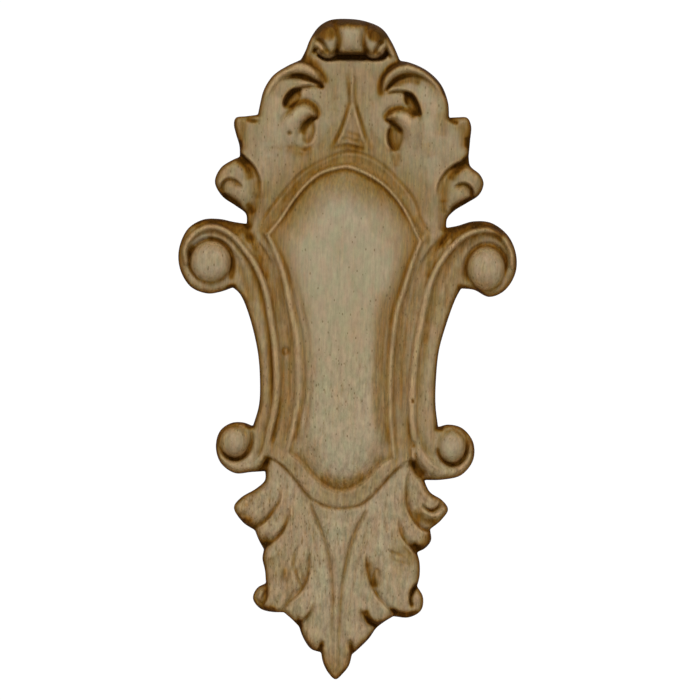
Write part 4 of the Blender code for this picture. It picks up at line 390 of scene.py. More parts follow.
def carve(stp):
    R = Carving(stp)
    X, Y = R.X, R.Y
    outline = np.concatenate([spline(s)[:-1] for s in OUTLINE])
    R.outline = outline
    S, _ = R.signed(outline, 40)
    R.S = S

    # ---------------------------------------------------------------- ground of crest and leaf
    crest = CREST_GROUND + 4 * np.clip(1 - ((X - 352) / 120) ** 2 - ((Y - 150) / 120) ** 2, 0, 1)
    leaf = LEAF_GROUND + 5 * np.clip(1 - ((X - 337) / 90) ** 2, 0, 1) * smooth((690 - Y) / 90)
    R.H = np.where(Y < 350, crest, leaf)

    # ---------------------------------------------------------------- left and right upper curls
    # body of the curl leaf
    R.mound(282, 112, 46, 66, 5.0)
    R.mound(428, 112, 42, 66, 5.0)
    R.mound(262, 170, 60, 70, 2.0)
    # second lobe and the drop inside it
    L2 = [(326, 88), (318, 86.5), (309, 86), (300, 87.5), (292, 90.5), (286, 98), (283.5, 106), (287, 110.5)]
    step(R, L2, (305, 95), [3, 4.4, 5, 6, 6.5, 6, 4], [3.4, 4.4, 6, 8, 9, 8, 6], 1.5, 6, ends=(0.1, 0.1))
    L2R = [(384, 95), (391, 92), (400, 91), (407, 92), (412, 95), (417, 103), (420, 112), (420.5, 121)]
    step(R, L2R, (400, 100), [3, 4.4, 5, 6, 6.5, 6.5, 6, 4], [3.4, 4.4, 6, 8, 8.5, 8, 6, 5], 1.5, 6, ends=(0.1, 0.1))
    # lips
    R.tube([(262, 114), (264, 100), (269, 87.5), (278, 76.8), (289, 71), (300, 68.8), (310.5, 71.4), (319, 77.6), (325.3, 86)],
           [3, 4, 5, 5.6, 5.8, 5.8, 5.6, 5, 3.2], [29, 31, 33.5, 35.5, LIP_TOP, LIP_TOP, 36, 34, 29], [3, 4, 6, 8, 9, 10, 10, 8, 5])
    R.tube([(446, 112), (444.5, 98), (439, 87), (431, 78), (421, 71.5), (410, 68.5), (400, 70), (391, 75), (385, 82.5), (382.5, 93)],
           [3, 3.5, 4, 4.5, 5, 5.2, 5.2, 5, 4.2, 3], [29, 31, 32.5, 34, 36, LIP_TOP, LIP_TOP, 36, 34, 29], [3, 4, 5, 6, 8, 9, 10, 10, 8, 5])
    R.groove([(268, 90), (274, 82.5), (282, 78.2), (291, 76.2), (300, 76.6), (308, 79.4), (316, 83), (325, 89)], [1, 2.2, 3.4, 4.6, 5.4, 5.8, 5.4, 3.8], [4, 4.6, 4.8, 4.9, 5.0, 4.9, 4.2, 2.8], ends=(0.3, 0.05))
    R.groove([(385, 94), (388.6, 87.4), (395, 81), (403, 77.2), (412, 75.8), (421, 78.6), (429, 85), (436, 95), (439, 108)], [4.2, 5.0, 4.2, 3.2, 2.6, 2.0, 1.6, 1.2, 0.8], [2.6, 3.2, 3.4, 3.5, 3.5, 3.8, 4.0, 4.0, 4], ends=(0.05, 0.35))
    R.groove([(398, 85), (406, 82.6), (415, 83), (424, 88)], [0.8, 1.4, 1.4, 0.8], 2.2, ends=(0.3, 0.3))
    R.groove([(405, 79.6), (413, 79.8), (420, 83.5), (426, 90)], 0.8, 1.7, ends=(0.3, 0.3))
    R.ridge([(283, 84.5), (295, 83.2), (305, 83), (313, 85), (319, 87)], [0.8, 1.8, 2, 1.6, 1], 2.4, ends=(0.3, 0.2))
    R.ridge([(386, 93), (391, 90.2), (399, 88.5), (406, 89.3)], [1, 1.8, 1.8, 0.8], 2.4, ends=(0.1, 0.3))
    # holes
    R.pit([(300.5, 87.8), (292, 90.4), (286, 96.8), (282.8, 105), (285, 110.5), (291.5, 107.4), (297.5, 103), (301, 99.5)], 4.6, 2.8)
    R.pit([(404.2, 91.8), (411, 93.6), (416.6, 100.2), (420, 108.5), (421.8, 117), (420.6, 122.5), (415, 116), (410.5, 110.4), (406.2, 106.6), (404, 100)], 4.6, 2.8)
    # curled tips
    R.groove([(286, 111), (289.5, 107.6), (296, 102.3), (304.5, 99.4), (312.5, 101.8), (318.6, 108), (320.4, 115), (318.6, 120.5)], [0.8, 1.2, 1.6, 1.8, 2, 2.4, 2.6, 1.4], 2.6, ends=(0.2, 0.1))
    Sx, _ = R.signed(spline(CURL_END_L, closed=True), 16)
    m = smooth((152 - Y) / 34) * smooth((X - 272) / 16)
    R.H = np.where(Sx > 0, R.H * (1 - m) + np.maximum(R.H - 2, CURL_BASE + CURL_RISE * pillow(Sx / 11.5, 1.8)) * m, R.H)
    R.groove([(384.6, 122.6), (383.2, 118), (386.5, 111.3), (392, 107.6), (400, 106.4), (408, 108), (414, 111.8), (418, 118)], [1.6, 2.6, 2.4, 2, 1.8, 1.6, 1.2, 0.8], 2.6, ends=(0.1, 0.2))
    Sx, _ = R.signed(spline(CURL_END_R, closed=True), 16)
    m = smooth((154 - Y) / 30) * smooth((426 - X) / 12)
    R.H = np.where(Sx > 0, R.H * (1 - m) + np.maximum(R.H - 2, CURL_BASE + CURL_RISE * pillow(Sx / 11.5, 1.8)) * m, R.H)
    # eyes below the curled tips
    R.pit([(314, 121), (314.6, 129), (312.8, 137), (308.8, 144), (304.5, 144.5), (302, 138), (302.6, 131), (307, 125)], 3.4, 3.6)
    R.pit([(391, 124), (397, 127), (401.8, 132.5), (403, 140), (400.6, 147), (395.5, 153.5), (391, 149.5), (387.6, 142), (388, 132)], 5.0, 3.2)
    R.groove([(318.5, 117.5), (312.5, 120), (307, 124), (303.2, 129.5), (301.8, 136.5)], [4, 5, 4.8, 3.8, 1.8], [2.6, 3.5, 4.3, 4.3, 3.6], ends=(0.04, 0.3))
    R.groove([(384.8, 120), (390, 123), (396, 126.6), (400.6, 131.5), (402.6, 139)], [4, 5, 4.6, 3.4, 1.4], [2.4, 2.8, 3.2, 3.4, 3.0], ends=(0.04, 0.3))
    R.groove([(313.2, 124.5), (314, 131), (312, 138), (308, 144.8)], [1.4, 2.4, 2.2, 1], 1.9, ends=(0.15, 0.2))
    R.groove([(390.6, 127.5), (388.4, 135), (389.4, 143.5), (394, 151.4)], [1.6, 3.4, 3.2, 1.8], 2.3, ends=(0.15, 0.15))
    R.ridge([(309.4, 128), (309, 134), (306.6, 140.5)], 1.5, 2.0, ends=(0.2, 0.25))
    R.ridge([(394.6, 131), (394.2, 138), (395.8, 146)], 1.5, 2.4, ends=(0.2, 0.25))
    R.ridge([(317, 122), (317.4, 131), (315, 139.5), (310.4, 147.5)], 1.3, 2.3, ends=(0.2, 0.2))
    R.ridge([(386.6, 127), (384.9, 136), (386.3, 145), (391, 153)], 1.3, 2.3, ends=(0.2, 0.2))
    R.groove([(292, 143), (297, 147), (304, 150), (311, 148), (316, 143)], [0.8, 1.6, 2, 1.6, 0.8], 2.6, ends=(0.25, 0.25))
    R.groove([(281, 149), (288, 147.5), (296, 150), (302, 154.5), (310, 154)], [0.8, 1.4, 1.6, 1.4, 0.6], 2.0, ends=(0.3, 0.3))
    R.groove([(268, 149.5), (275, 148), (283, 151.5)], 0.9, 2.0)
    R.groove([(301, 143.5), (305, 148.5), (304, 154)], 1.4, 1.8)
    R.ridge([(289, 146), (297, 151.5), (306, 153)], 1.0, 2.2, ends=(0.3, 0.3))
    R.pit([(287.8, 132), (291.6, 132.3), (291.8, 135.6), (288.2, 135.8)], 4.6, 1.7)
    R.ridge([(395, 149), (395.5, 157), (396.5, 165)], 1.6, 2.6, ends=(0.1, 0.5))
    R.groove([(391.5, 149), (392, 157), (393, 166)], 1.6, 2.5, ends=(0.2, 0.5))
    R.groove([(399.5, 148), (399.5, 157), (400, 166)], 1.8, 2.8, ends=(0.2, 0.5))

    # ---------------------------------------------------------------- centre rib of the crest
    R.ridge([(352.3, 62), (352.3, 80), (352.1, 104)], [1.5, 3, 3], 2.9, ends=(0.2, 0.05))
    R.groove([(346, 71), (347.9, 82), (349.2, 94), (349.3, 104), (346.3, 115), (342.2, 127), (336.8, 139), (329.5, 151)], [1.4, 2.6, 3.4, 3.6, 3.4, 3, 2.6, 1.4], [1.9, 2.0, 2.0, 2.2, 2.6, 3.1, 3.6, 3.8], ends=(0.1, 0.15))
    R.groove([(355.9, 74), (355.3, 88), (355.2, 102), (357.8, 112), (361.3, 123), (364.8, 134), (368.8, 146)], [1.0, 2.2, 3, 3.4, 3.4, 2.8, 1.4], [1.9, 2.0, 2.1, 2.2, 2.4, 2.6, 2.8], ends=(0.1, 0.15))
    R.ridge([(351.2, 103), (349.2, 114), (345.6, 126), (340.4, 138), (333.5, 149)], 2.2, 2.4, ends=(0.1, 0.2))
    R.ridge([(353.2, 103), (354.9, 113), (358.0, 124), (361.2, 134.5), (365.6, 146)], 2.2, 2.4, ends=(0.1, 0.2))
    R.groove([(346, 131), (351, 134), (356, 134.5), (360, 139)], 1.5, 1.9)
    R.groove([(341, 141.5), (347, 138.5), (353, 141), (359, 141.5), (364, 146)], 1.8, 2.0)
    R.groove([(333, 150), (341, 146), (349, 145.5), (357, 148), (366, 150)], 2.2, 2.3)
    R.ridge([(338, 147.5), (346, 143), (354, 144), (361, 147)], 1.0, 1.8)
    R.groove([(331, 100), (338, 99), (344, 101)], 0.7, 1.6)
    R.groove([(326, 112), (333, 110), (341, 113)], 0.7, 1.7)
    R.groove([(362, 92), (366, 99), (367, 109)], 0.7, 1.8)
    R.groove([(371, 100), (375, 112), (376, 124)], 0.7, 2.2)
    R.groove([(336, 118), (331, 130), (324, 143), (316, 153)], [0.8, 1.6, 1.8, 1], 6, ends=(0.3, 0.2))
    R.groove([(368, 122), (373, 134), (379, 145), (386, 154)], [0.8, 1.4, 1.4, 0.8], 5, ends=(0.3, 0.2))

    # ---------------------------------------------------------------- ears
    R.groove([(244, 117), (243.5, 127), (242, 137), (243, 147)], [3, 2.6, 2, 1], 4.5, ends=(0.0, 0.3))
    R.groove([(246, 119), (252, 121.5), (262, 121)], 4.5, 3.0, ends=(0.1, 0.35))
    R.groove([(239, 141), (241, 147)], 3, 2.6, ends=(0.2, 0.2))
    R.groove([(448, 119), (454, 123), (459, 123)], 5, 3.2, ends=(0.1, 0.3))
    R.groove([(466.5, 138), (466.5, 148)], 4, 3.0, ends=(0.2, 0.2))

    # ---------------------------------------------------------------- side curls
    CL = [(238, 152), (244, 156.5), (251, 162.5), (257, 171), (260.5, 181), (261, 192), (258, 204)]
    CR = [(470, 155), (462, 161), (452, 166), (444, 173.5), (438.5, 183), (436.5, 194), (437.5, 205)]
    step(R, CL, (240, 175), [9, 9, 8, 7, 5, 3, 2], [9, 10, 10, 10, 11, 10, 8], 0.8, 4, ends=(0.0, 0.25))
    step(R, CR, (460, 180), [9, 8, 7, 6, 5, 3, 2], [9, 10, 10, 10, 11, 10, 8], 0.8, 4, ends=(0.0, 0.25))
    R.ridge([(246, 162), (252, 168), (256, 177), (257, 187)], 2.0, 2.6, ends=(0.2, 0.4))
    R.ridge([(459, 167), (451, 171), (445, 178), (441.5, 188)], 2.4, 2.8, ends=(0.2, 0.4))
    R.mound(229, 175, 19, 15, 5.5, angle=-35)
    R.mound(471, 180, 18, 15, 5.5, angle=35)
    R.mound(236, 192, 20, 11, 4.5, angle=40)
    R.mound(458, 196, 20, 11, 4.5, angle=-35)
    step(R, [(220.5, 194), (220.5, 186), (224, 180.5), (229.5, 178), (236, 180), (242, 185.5), (245, 191)], (232, 188), [6, 7, 7, 6, 5, 4, 2], [7, 8, 9, 9, 8, 7, 5], 1.0, 4, ends=(0.1, 0.2))
    step(R, [(452, 189), (456, 185.5), (461.5, 183), (467, 184), (472, 188.5), (473.5, 194), (471, 199)], (462, 192), [2, 4, 6, 8, 9, 9, 6], [5, 6, 7, 8, 8, 8, 6], 1.0, 4, ends=(0.2, 0.1))
    R.groove([(221, 192), (226, 196.5), (234, 201), (242, 207)], [5, 7, 6, 4], 4.5, ends=(0.2, 0.2))
    R.groove([(474, 198), (466, 201.5), (457, 206), (449, 213.5)], [5, 7, 7, 4], 4.5, ends=(0.2, 0.2))
    R.groove([(257, 190), (256, 203), (251, 214), (248, 226)], [2, 4, 6, 6], [7, 8, 8, 7], ends=(0.2, 0.0))
    R.groove([(440, 196), (441, 206), (443, 216), (444, 228)], [1, 2, 4, 5], [6, 7, 7, 7], ends=(0.2, 0.0))

    # ---------------------------------------------------------------- arch band, bead, field, sill
    R.strip(ARCH_OUT, ARCH_BEAD, 27.5, 32.5, -1.8)
    R.groove(ARCH_OUT, [2, 2.2, 1.8, 1.4, 0.8, 1.4, 0.9, 1.4, 1.8, 2.2, 2], 2.2, ends=(0.08, 0.08))
    R.ridge([(p[0] * 0.83 + q[0] * 0.17, p[1] * 0.83 + q[1] * 0.17) for p, q in zip(spline(ARCH_OUT)[8:-8:12], spline(ARCH_BEAD)[np.linspace(8, len(spline(ARCH_BEAD)) - 9, len(spline(ARCH_OUT)[8:-8:12])).astype(int)])], 1.2, 2.4, ends=(0.1, 0.1))
    # sill
    R.strip([(266, 446)] + SILL_IN, [(267, 457)] + SILL_OUT, SILL_TOP, SILL_TOP, 0.6)
    R.strip(SILL_IN + [(412, 440)], SILL_OUT + [(415, 460)], SILL_TOP, SILL_TOP, 0.6)
    # coves between stem ridge and bead: they rise out of the crest and die out in the sill
    cove_l = ([(236, 236), (245, 250), (257, 268), (265, 288), (271, 318), (275.5, 350), (277, 380), (275, 408), (271, 430), (268, 456)],
              [(258, 222), (268, 235.5)] + BEAD_L[1:] + [(284, 462)])
    cove_r = ([(452, 240), (443, 258), (433, 276), (425.5, 300), (418, 338), (413.5, 372), (412, 402), (413, 430), (412, 462)],
              [(432, 224), (420, 242)] + BEAD_R[1:] + [(396, 468)])
    for (out, bead) in (cove_l, cove_r):
        A, B = spline(out), spline(bead)
        mask = R.inside(np.vstack([A, B[::-1]]))
        DA, TA, _ = R.distance(A, 60)
        DB, TB, _ = R.distance(B, 60)
        u = DA / (DA + DB + 1e-9)
        z = 30.5 * (1 - u) + SILL_TOP * u - along(TB, [3.4, 4.8, 5.2, 5.2, 5, 4.6, 4.2, 3.2, 2]) * 4 * u * (1 - u)
        R.H = np.where(mask & (Y > 400), 31.5, R.H)
        w = smooth((Y - 226) / 26) * smooth((460 - Y) / 30)
        R.H = np.where(mask, R.H * (1 - w) + z * w, R.H)
    # field
    field = np.vstack([spline(ARCH_BEAD)[:-1], spline(BEAD_R)[:-1], spline(SILL_IN)[::-1][:-1], spline(BEAD_L)[::-1][:-1]])
    F, _ = R.signed(field, 8)
    rise = 1.0
    for rail, width in ((ARCH_BEAD, FIELD_RAMP[0]), (BEAD_R, FIELD_RAMP[1]), (SILL_IN, FIELD_RAMP[2]), (BEAD_L, FIELD_RAMP[3])):
        D, _, _ = R.distance(spline(rail, 4), width + 3)
        rise = rise * np.sin(np.clip((D - 2.0) / width, 0, 1) * np.pi / 2) ** 0.9
    crown = np.clip(1 - ((X - 344) / 70) ** 2 - ((Y - 330) / 240) ** 2, 0, 1)
    R.H = np.where(F > 0, FIELD_EDGE + FIELD_RISE * rise + FIELD_CROWN * crown * rise, R.H)
    R.field, R.rise = F, rise
    # beads
    R.ridge(ARCH_BEAD, 2.8, 3.0, ends=(0, 0))
    R.groove([(p[0] + 0.2, p[1] + 3.2) for p in ARCH_BEAD[1:-1]], [2.4, 2, 1.4, 1.0, 0.8, 1.0, 1.4, 2, 2.4], 1.9, ends=(0.05, 0.05), where=(F > 0))
    R.tube(BEAD_L, [2.4, 2.8, 3.0, 3.4, 4.0, 4.4, 4.4, 3.8, 3.0, 2.6], BEAD_TOP, 3.4, 2.0)
    R.tube(BEAD_R, [2.4, 2.6, 2.7, 2.7, 2.8, 2.8, 2.8, 2.7, 2.6], BEAD_TOP, 3.4, 2.0)
    R.groove([(p[0] + 4.4, p[1]) for p in BEAD_L], [1.0, 1.0, 0.9, 0.7, 0.7, 0.7, 0.9, 1, 1], 1.9, ends=(0.1, 0.1))
    R.groove([(p[0] - 4.0, p[1]) for p in BEAD_R], 0.9, 1.9, ends=(0.1, 0.1))
    R.ridge([(p[0] + 8.2, p[1]) for p in BEAD_L[1:]], 1.1, 2.0, ends=(0.2, 0.1))
    R.groove([(p[0] + 11.6, p[1]) for p in BEAD_L[2:]], 0.7, 1.7, ends=(0.2, 0.1))
    R.ridge([(p[0] + 14.4, p[1]) for p in BEAD_L[2:]], 0.5, 1.6, ends=(0.2, 0.2))
    R.groove([(p[0] - 8.6, p[1]) for p in BEAD_R[1:-1]], 0.5, 1.7, ends=(0.2, 0.2))
    R.groove([(p[0] - 12.4, p[1]) for p in BEAD_R[1:-1]], 0.5, 1.6, ends=(0.2, 0.2))
    R.groove(SILL_IN, 1.3, 1.7, ends=(0.02, 0.02))
    R.ridge([(p[0] * 0.8 + q[0] * 0.2, p[1] * 0.8 + q[1] * 0.2) for p, q in zip(spline(SILL_IN)[::10], spline(SILL_OUT)[np.linspace(0, len(spline(SILL_OUT)) - 1, len(spline(SILL_IN)[::10])).astype(int)])], 1.0, 2.0, ends=(0.1, 0.1))
    R.groove(SILL_OUT, 2.8, [2.0, 2.2, 2.2, 2.2, 2.2, 2.0], ends=(0.03, 0.03))
    # fine flutes that the cutter left along the stems
    R.flutes([(250, 262), (262, 300), (268, 340), (270, 380), (268, 415)], [(270, 250), (282, 290), (291, 340), (293, 390), (288, 430)], 4, 0.85, 2.2)
    R.flutes([(436, 262), (424, 300), (416, 345), (413, 390), (414, 430)], [(418, 255), (406, 295), (397, 345), (393, 390), (394, 440)], 4, 0.85, 2.2)
    # the groove between the stem's ridge and the lower end of the frame
    R.groove([(279.5, 385), (278.5, 410), (275, 432), (268, 455)], [1, 2.6, 4.2, 4.5], [4, 4, 4, 3.2], ends=(0.3, 0.0))
    R.groove([(409.5, 400), (408.5, 425), (409, 445), (410.5, 461)], [0.6, 1.8, 2.8, 3.4], [4, 4, 3.6, 3], ends=(0.3, 0.0))

    # ---------------------------------------------------------------- scroll channels, ridges and balls
    for stem, ball, lower, sgn in ((STEM_L, (211, 261.5, 20, 20), (234, 441, 14.5, 15), 1), (STEM_R, (485.5, 268, 18.5, 21.5), (451, 446, 14.5, 16), -1)):
        SP = spline(stem)
        D, T, G = R.distance(SP, 32)
        inner = (G * side_of(stem, (ball[0], ball[1])) > 0) & (D < 31)
        # outside the ridge: a slope that runs down to the outline
        outer = (G * side_of(stem, (ball[0], ball[1])) < 0) & (D < 16) & (T < 0.42)
        z = 32.5 - 9 * smooth(D / 13)
        w = smooth(T / 0.1 + 0.3) * smooth((0.42 - T) / 0.14)
        R.H = np.where(outer & (Y < 300), np.minimum(R.H, z) * w + R.H * (1 - w), R.H)
        deep = np.interp(T, [0, 0.08, 0.35, 0.5, 0.8, 0.92, 1], [25.5, 25.5, STEM_CHANNEL - 0.2, STEM_CHANNEL - 0.5 * sgn, STEM_CHANNEL + 1 - 0.8 * sgn, 26.5, 27])
        flat = np.interp(T, [0, 0.08, 0.35, 0.5, 0.8, 0.92, 1], [25, 24.5, 25, 27.5, 28, 28, 27])
        half = np.interp(T, [0, 0.3, 0.5, 1], [5.0, 5.5, 6.0 - sgn, 5.6 - 0.8 * sgn])
        chan = np.where(D < half, 32.5 + (deep - 32.5) * smooth(D / half), deep + (flat - deep) * smooth((D - half) / 6))
        keep = inner & (S > -2)
        R.H = np.where(keep, chan, R.H)
        # ridge itself
        R.tube(stem, [2, 2.5, 2.8, 2.8, 2.8, 3.0, 3.2, 3.4, 3.5, 3.5, 3.5, 3.2, 2.8], [29, 31, 32.5, 33.5, STEM_TOP, STEM_TOP, STEM_TOP, STEM_TOP, STEM_TOP, STEM_TOP, 33.5, 32, 30], 3.0, 2.0)
    # lesser ridges inside the channel
    R.ridge([(193, 250), (199, 240), (208, 236), (217, 237), (227, 242), (237, 253), (246, 270), (252, 290), (256, 312)], [1, 1.4, 1.6, 1.6, 1.4, 1.2, 1.1, 1, 0.6], [2.2, 2.2, 2.2, 2.4, 2.6, 2.8, 2.8, 2.8, 2.8], ends=(0.15, 0.3))
    R.groove([(232, 256), (240, 270), (246, 288), (251, 310)], [1, 1.6, 1.4, 0.6], 3, ends=(0.3, 0.4))
    R.ridge([(459, 262), (450, 276), (443, 296), (437, 320)], [0.8, 1.2, 1, 0.6], 3, ends=(0.3, 0.4))
    R.flutes([(240, 296), (254, 330), (261, 365), (262, 400)], [(256, 290), (267, 330), (272, 365), (272, 400)], 3, 0.75, 2.0)
    R.flutes([(450, 300), (438, 340), (433, 375), (431, 410)], [(432, 300), (424, 340), (419, 375), (418, 410)], 3, 0.75, 2.2)
    # rings round the big balls
    R.groove([(201, 280.5), (195, 275), (190.2, 265), (190.6, 253), (197, 244.5), (206, 240), (215, 240), (224, 244.5), (230.5, 254), (232.8, 266), (231, 278), (228, 287)],
             [3, 5.5, 6, 5.2, 3.8, 3, 2.8, 3, 3.6, 4.2, 4, 3], [2.6, 3.2, 3.6, 3.6, 3.4, 3.2, 3.2, 3.4, 3.6, 3.8, 4, 4.5], ends=(0.04, 0.15))
    R.groove([(493, 287), (499, 280), (504, 270), (504.8, 259), (500, 250), (492, 245), (483, 244.6), (474, 249), (467, 259), (464.8, 271), (466, 282), (470, 290)],
             [3, 5.5, 6, 5.2, 3.8, 3, 2.8, 3, 3.6, 4.2, 4, 3], [2.6, 3.2, 3.6, 3.6, 3.4, 3.2, 3.2, 3.4, 3.6, 3.8, 4, 4.5], ends=(0.04, 0.15))
    R.ball(211, 262, 20.5, 21.5, SCROLL_BASE, SCROLL_BALL)
    R.ball(485.8, 269, 19, 22.5, SCROLL_BASE, SCROLL_BALL)
    # lower balls, each in a turned-up rim
    R.tube([(271.5, 437), (267, 451), (259, 461.5), (250, 466.5), (240, 467.5), (229, 464), (221.5, 456), (218.5, 447), (219, 438)], [3.2, 4.2, 5, 5.6, 6, 6, 5.5, 4.5, 3], [32, 32.5, 31, 30, 29.5, 29.5, 29, 28, 26], 5, 2.0, ends=(0.12, 0))
    R.tube([(413, 440), (418.5, 452), (427, 463), (437, 470.5), (447, 472.8), (458, 470.5), (466.5, 463.5), (470.8, 454), (471.5, 442), (468.5, 433)], [3.2, 4.2, 5, 5.6, 6, 6, 5.5, 5, 4.2, 3], [32, 32.5, 31, 30, 29.5, 29.5, 29, 28.5, 28, 26], 5, 2.0, ends=(0.12, 0))
    R.groove([(219.3, 444), (222, 451.5), (227.5, 457.2), (234.5, 459.3), (242, 457.5), (248, 452), (251.3, 444), (251.8, 435), (249.5, 427.5)],
             [3, 7, 9, 10, 9, 7.5, 6, 4.5, 3], [2.6, 3.4, 3.8, 4, 3.8, 3.6, 3.4, 3.2, 3], ends=(0.06, 0.1))
    R.groove([(436.6, 446), (438.8, 454), (444, 461), (451.5, 464.6), (459, 462.8), (464.8, 456.5), (467.6, 448), (467.6, 438), (464, 431), (457, 427.6)],
             [3, 6, 8.5, 9.5, 8.5, 7.5, 6.5, 5.5, 4, 2], [2.8, 3.2, 3.6, 3.8, 3.8, 3.6, 3.2, 3, 2.6, 2.2], ends=(0.06, 0.12))
    R.ball(234.3, 441, 15.4, 16, FOOT_BASE, FOOT_BALL)
    R.ball(451.4, 446, 14.6, 16.8, FOOT_BASE, FOOT_BALL)
    R.groove([(410, 458), (415, 467), (421, 474), (428, 480)], [5, 8, 9, 6], [5, 6.5, 7, 6], ends=(0.1, 0.0))
    R.groove([(268.5, 455), (266, 463), (263, 472)], [4, 7, 6], [4.5, 6, 6], ends=(0.1, 0.0))

    for kx, ky, kr in ((285.4, 351.4, 2.6), (413, 444, 1.8)):
        ring = [(kx + kr * math.cos(a), ky + 1.25 * kr * math.sin(a)) for a in np.linspace(0, 2 * math.pi, 9)]
        R.groove(ring, 2.6, 1.6, ends=(0, 0))
    R.groove([(412.3, 399.4), (412.8, 402.4)], 4.0, 1.9, ends=(0, 0))
    R.groove([(399.6, 300), (400, 303)], 1.6, 1.6, ends=(0, 0))
    # the joints at the ends of the arch are worn together
    R.soften(256, 236, 12, 9, 1.8, -50)
    R.soften(437, 238, 12, 9, 1.8, 50)

    # ---------------------------------------------------------------- knob
    rec = (np.abs(X - 351) < 44) & (Y < 62)
    kn = 26 + 3 * smooth((62 - Y) / 14)
    R.H = np.where(rec & (Y < 58), 25, R.H)
    R.pit([(317, 55.5), (323, 51), (336, 50), (350, 52), (366, 50.5), (379, 50), (388, 54), (385.5, 60), (372, 62), (352, 61), (335, 61.8), (323, 61)], 10, 4)
    R.tube([(387, 37), (391.5, 47), (396.5, 60)], [4, 4.5, 4], [31, 30, 28], 5, 2.0, ends=(0.0, 0.2))
    R.tube([(312.5, 40), (308, 50), (305, 60)], [3.5, 4, 4], [30, 28.5, 27], 5, 2.0, ends=(0.0, 0.2))

    def lump(cx, cy, rx, ry, base, height, cut):
        r2 = ((X - cx) / rx) ** 2 + ((Y - cy) / ry) ** 2
        top = base + height * np.sqrt(np.clip(1 - r2, 0, 1))
        R.H = np.where((r2 < 1) & (Y < cut), np.maximum(R.H, top), R.H)

    lump(327.5, 40.5, 14.5, 18.5, KNOB_BASE, 16, 60)
    lump(374, 41.5, 13.5, 17.5, KNOB_BASE, 16, 60)
    bx = np.clip(1 - np.abs((X - 350.8) / 15.5) ** 2.6, 0, 1) ** 0.5
    by = np.clip(1 - np.abs((Y - 39.0) / 19.2) ** 2.3, 0, 1) ** 0.6
    R.H = np.where((bx > 0) & (by > 0) & (Y < 55.5), np.maximum(R.H, KNOB_BASE + KNOB_RISE * bx * by), R.H)
    R.groove([(312.5, 43), (317, 41), (322, 44), (326, 49), (328.5, 55)], [4, 7, 8, 7, 4], [2.6, 3.2, 3.4, 3, 2.6], ends=(0.15, 0.15))
    R.groove([(374.5, 56), (376.5, 49.5), (380, 45), (386, 42.5)], [4, 7, 8, 4], [2.6, 3.2, 3.4, 2.6], ends=(0.15, 0.15))
    R.groove([(313.5, 55), (315.5, 50), (319.5, 49.5)], 5, 2.4, ends=(0.2, 0.2))
    R.groove([(384, 48.5), (387, 53), (391.5, 60)], 5, 2.2, ends=(0.2, 0.2))
    R.groove([(335.6, 27), (338.6, 32), (339.8, 38), (339.2, 44.5), (336.8, 52.5)], [0.4, 1.2, 3, 4.8, 6.5], [2.6, 3.2, 3.8, 4.2, 4.2], ends=(0.3, 0.0))
    R.groove([(366, 27.5), (363.4, 32), (362.4, 38), (363.2, 44.5), (366.4, 52.5)], [0.4, 1.2, 2.6, 4.0, 6], [2.6, 3.2, 3.8, 4.2, 4.2], ends=(0.3, 0.0))
    R.ridge([(323, 28.5), (329.5, 27.2), (334.4, 31.5), (335.4, 38), (333, 45)], 1.8, 2.2, ends=(0.25, 0.25))
    R.ridge([(378, 29), (371.5, 28.6), (367, 33), (366.4, 39.5), (368.6, 46)], 1.8, 2.2, ends=(0.25, 0.25))
    R.mound(327, 36.5, 8, 9, 1.6)
    R.mound(374.5, 37, 7.5, 8.5, 1.6)

    # ---------------------------------------------------------------- bottom leaf
    # stem
    spear = [(309, 494), (313, 510), (320, 526), (326, 543), (330, 562), (332, 580), (334, 598), (337, 606), (340.5, 598), (342.5, 578), (346, 560), (351, 541), (358, 524), (367, 507)]
    st, _ = R.signed(spline(spear, closed=False), 14)
    leafmask = ~R.inside(np.vstack([spline(SILL_OUT), [(440, 440), (440, 100), (240, 100), (240, 440)]])) & (Y > 455)
    R.H = np.where(leafmask & (st > 0), R.H + 2.4 * pillow(st / 7), R.H)
    for line in LEAF_LINES:
        R.groove(line, [1, 1.5, 1.6, 1.6, 1.4, 1.1, 0.6], 9, ends=(0.1, 0.2), where=leafmask)
        R.groove(line, [1.8, 2.2, 2.3, 2.2, 2, 1.7, 1.3, 0.9], [1.9, 2.0, 2.1, 2.1, 2.0, 1.9, 1.9, 1.8], ends=(0.02, 0.15), where=leafmask)
    R.ridge([(305.5, 499), (309.5, 511), (316, 527), (321.8, 543), (325.6, 562), (327.6, 582), (328, 604)], 1.3, 2.4, ends=(0.1, 0.3), where=leafmask)
    R.ridge([(371, 511), (362.5, 527), (356, 543), (351, 561), (347.6, 580), (345.6, 604)], 1.3, 2.4, ends=(0.1, 0.3), where=leafmask)
    R.ridge([(336.4, 582), (336, 600), (335.6, 625), (335.3, 648), (335.3, 672)], [1.2, 2.2, 2.2, 2, 1.2], 3.0, ends=(0.15, 0.1))
    # soft swells of the lobes
    R.mound(298, 528, 16, 44, 2.4, angle=-10, where=leafmask)
    R.mound(376, 540, 16, 44, 2.4, angle=12, where=leafmask)
    R.mound(316, 606, 13, 42, 2.6, angle=-6)
    R.mound(352, 612, 12, 38, 2.6, angle=8)
    R.mound(254, 505, 26, 18, 4.0, angle=-35)
    R.mound(424, 488, 17, 30, 3.0, angle=-25)
    R.mound(275, 577, 19, 36, 3.4, angle=8)
    R.mound(398, 578, 22, 36, 3.4, angle=-10)
    R.mound(298, 611, 17, 10, 3.0, angle=-40)
    R.mound(377, 611, 16, 11, 3.0, angle=35)
    R.mound(276, 527, 20, 9, 2.0, angle=-48)
    R.mound(404, 540, 22, 9, 2.0, angle=55)
    R.mound(312, 636, 12, 14, 2.0)
    R.mound(360, 634, 12, 14, 2.0)
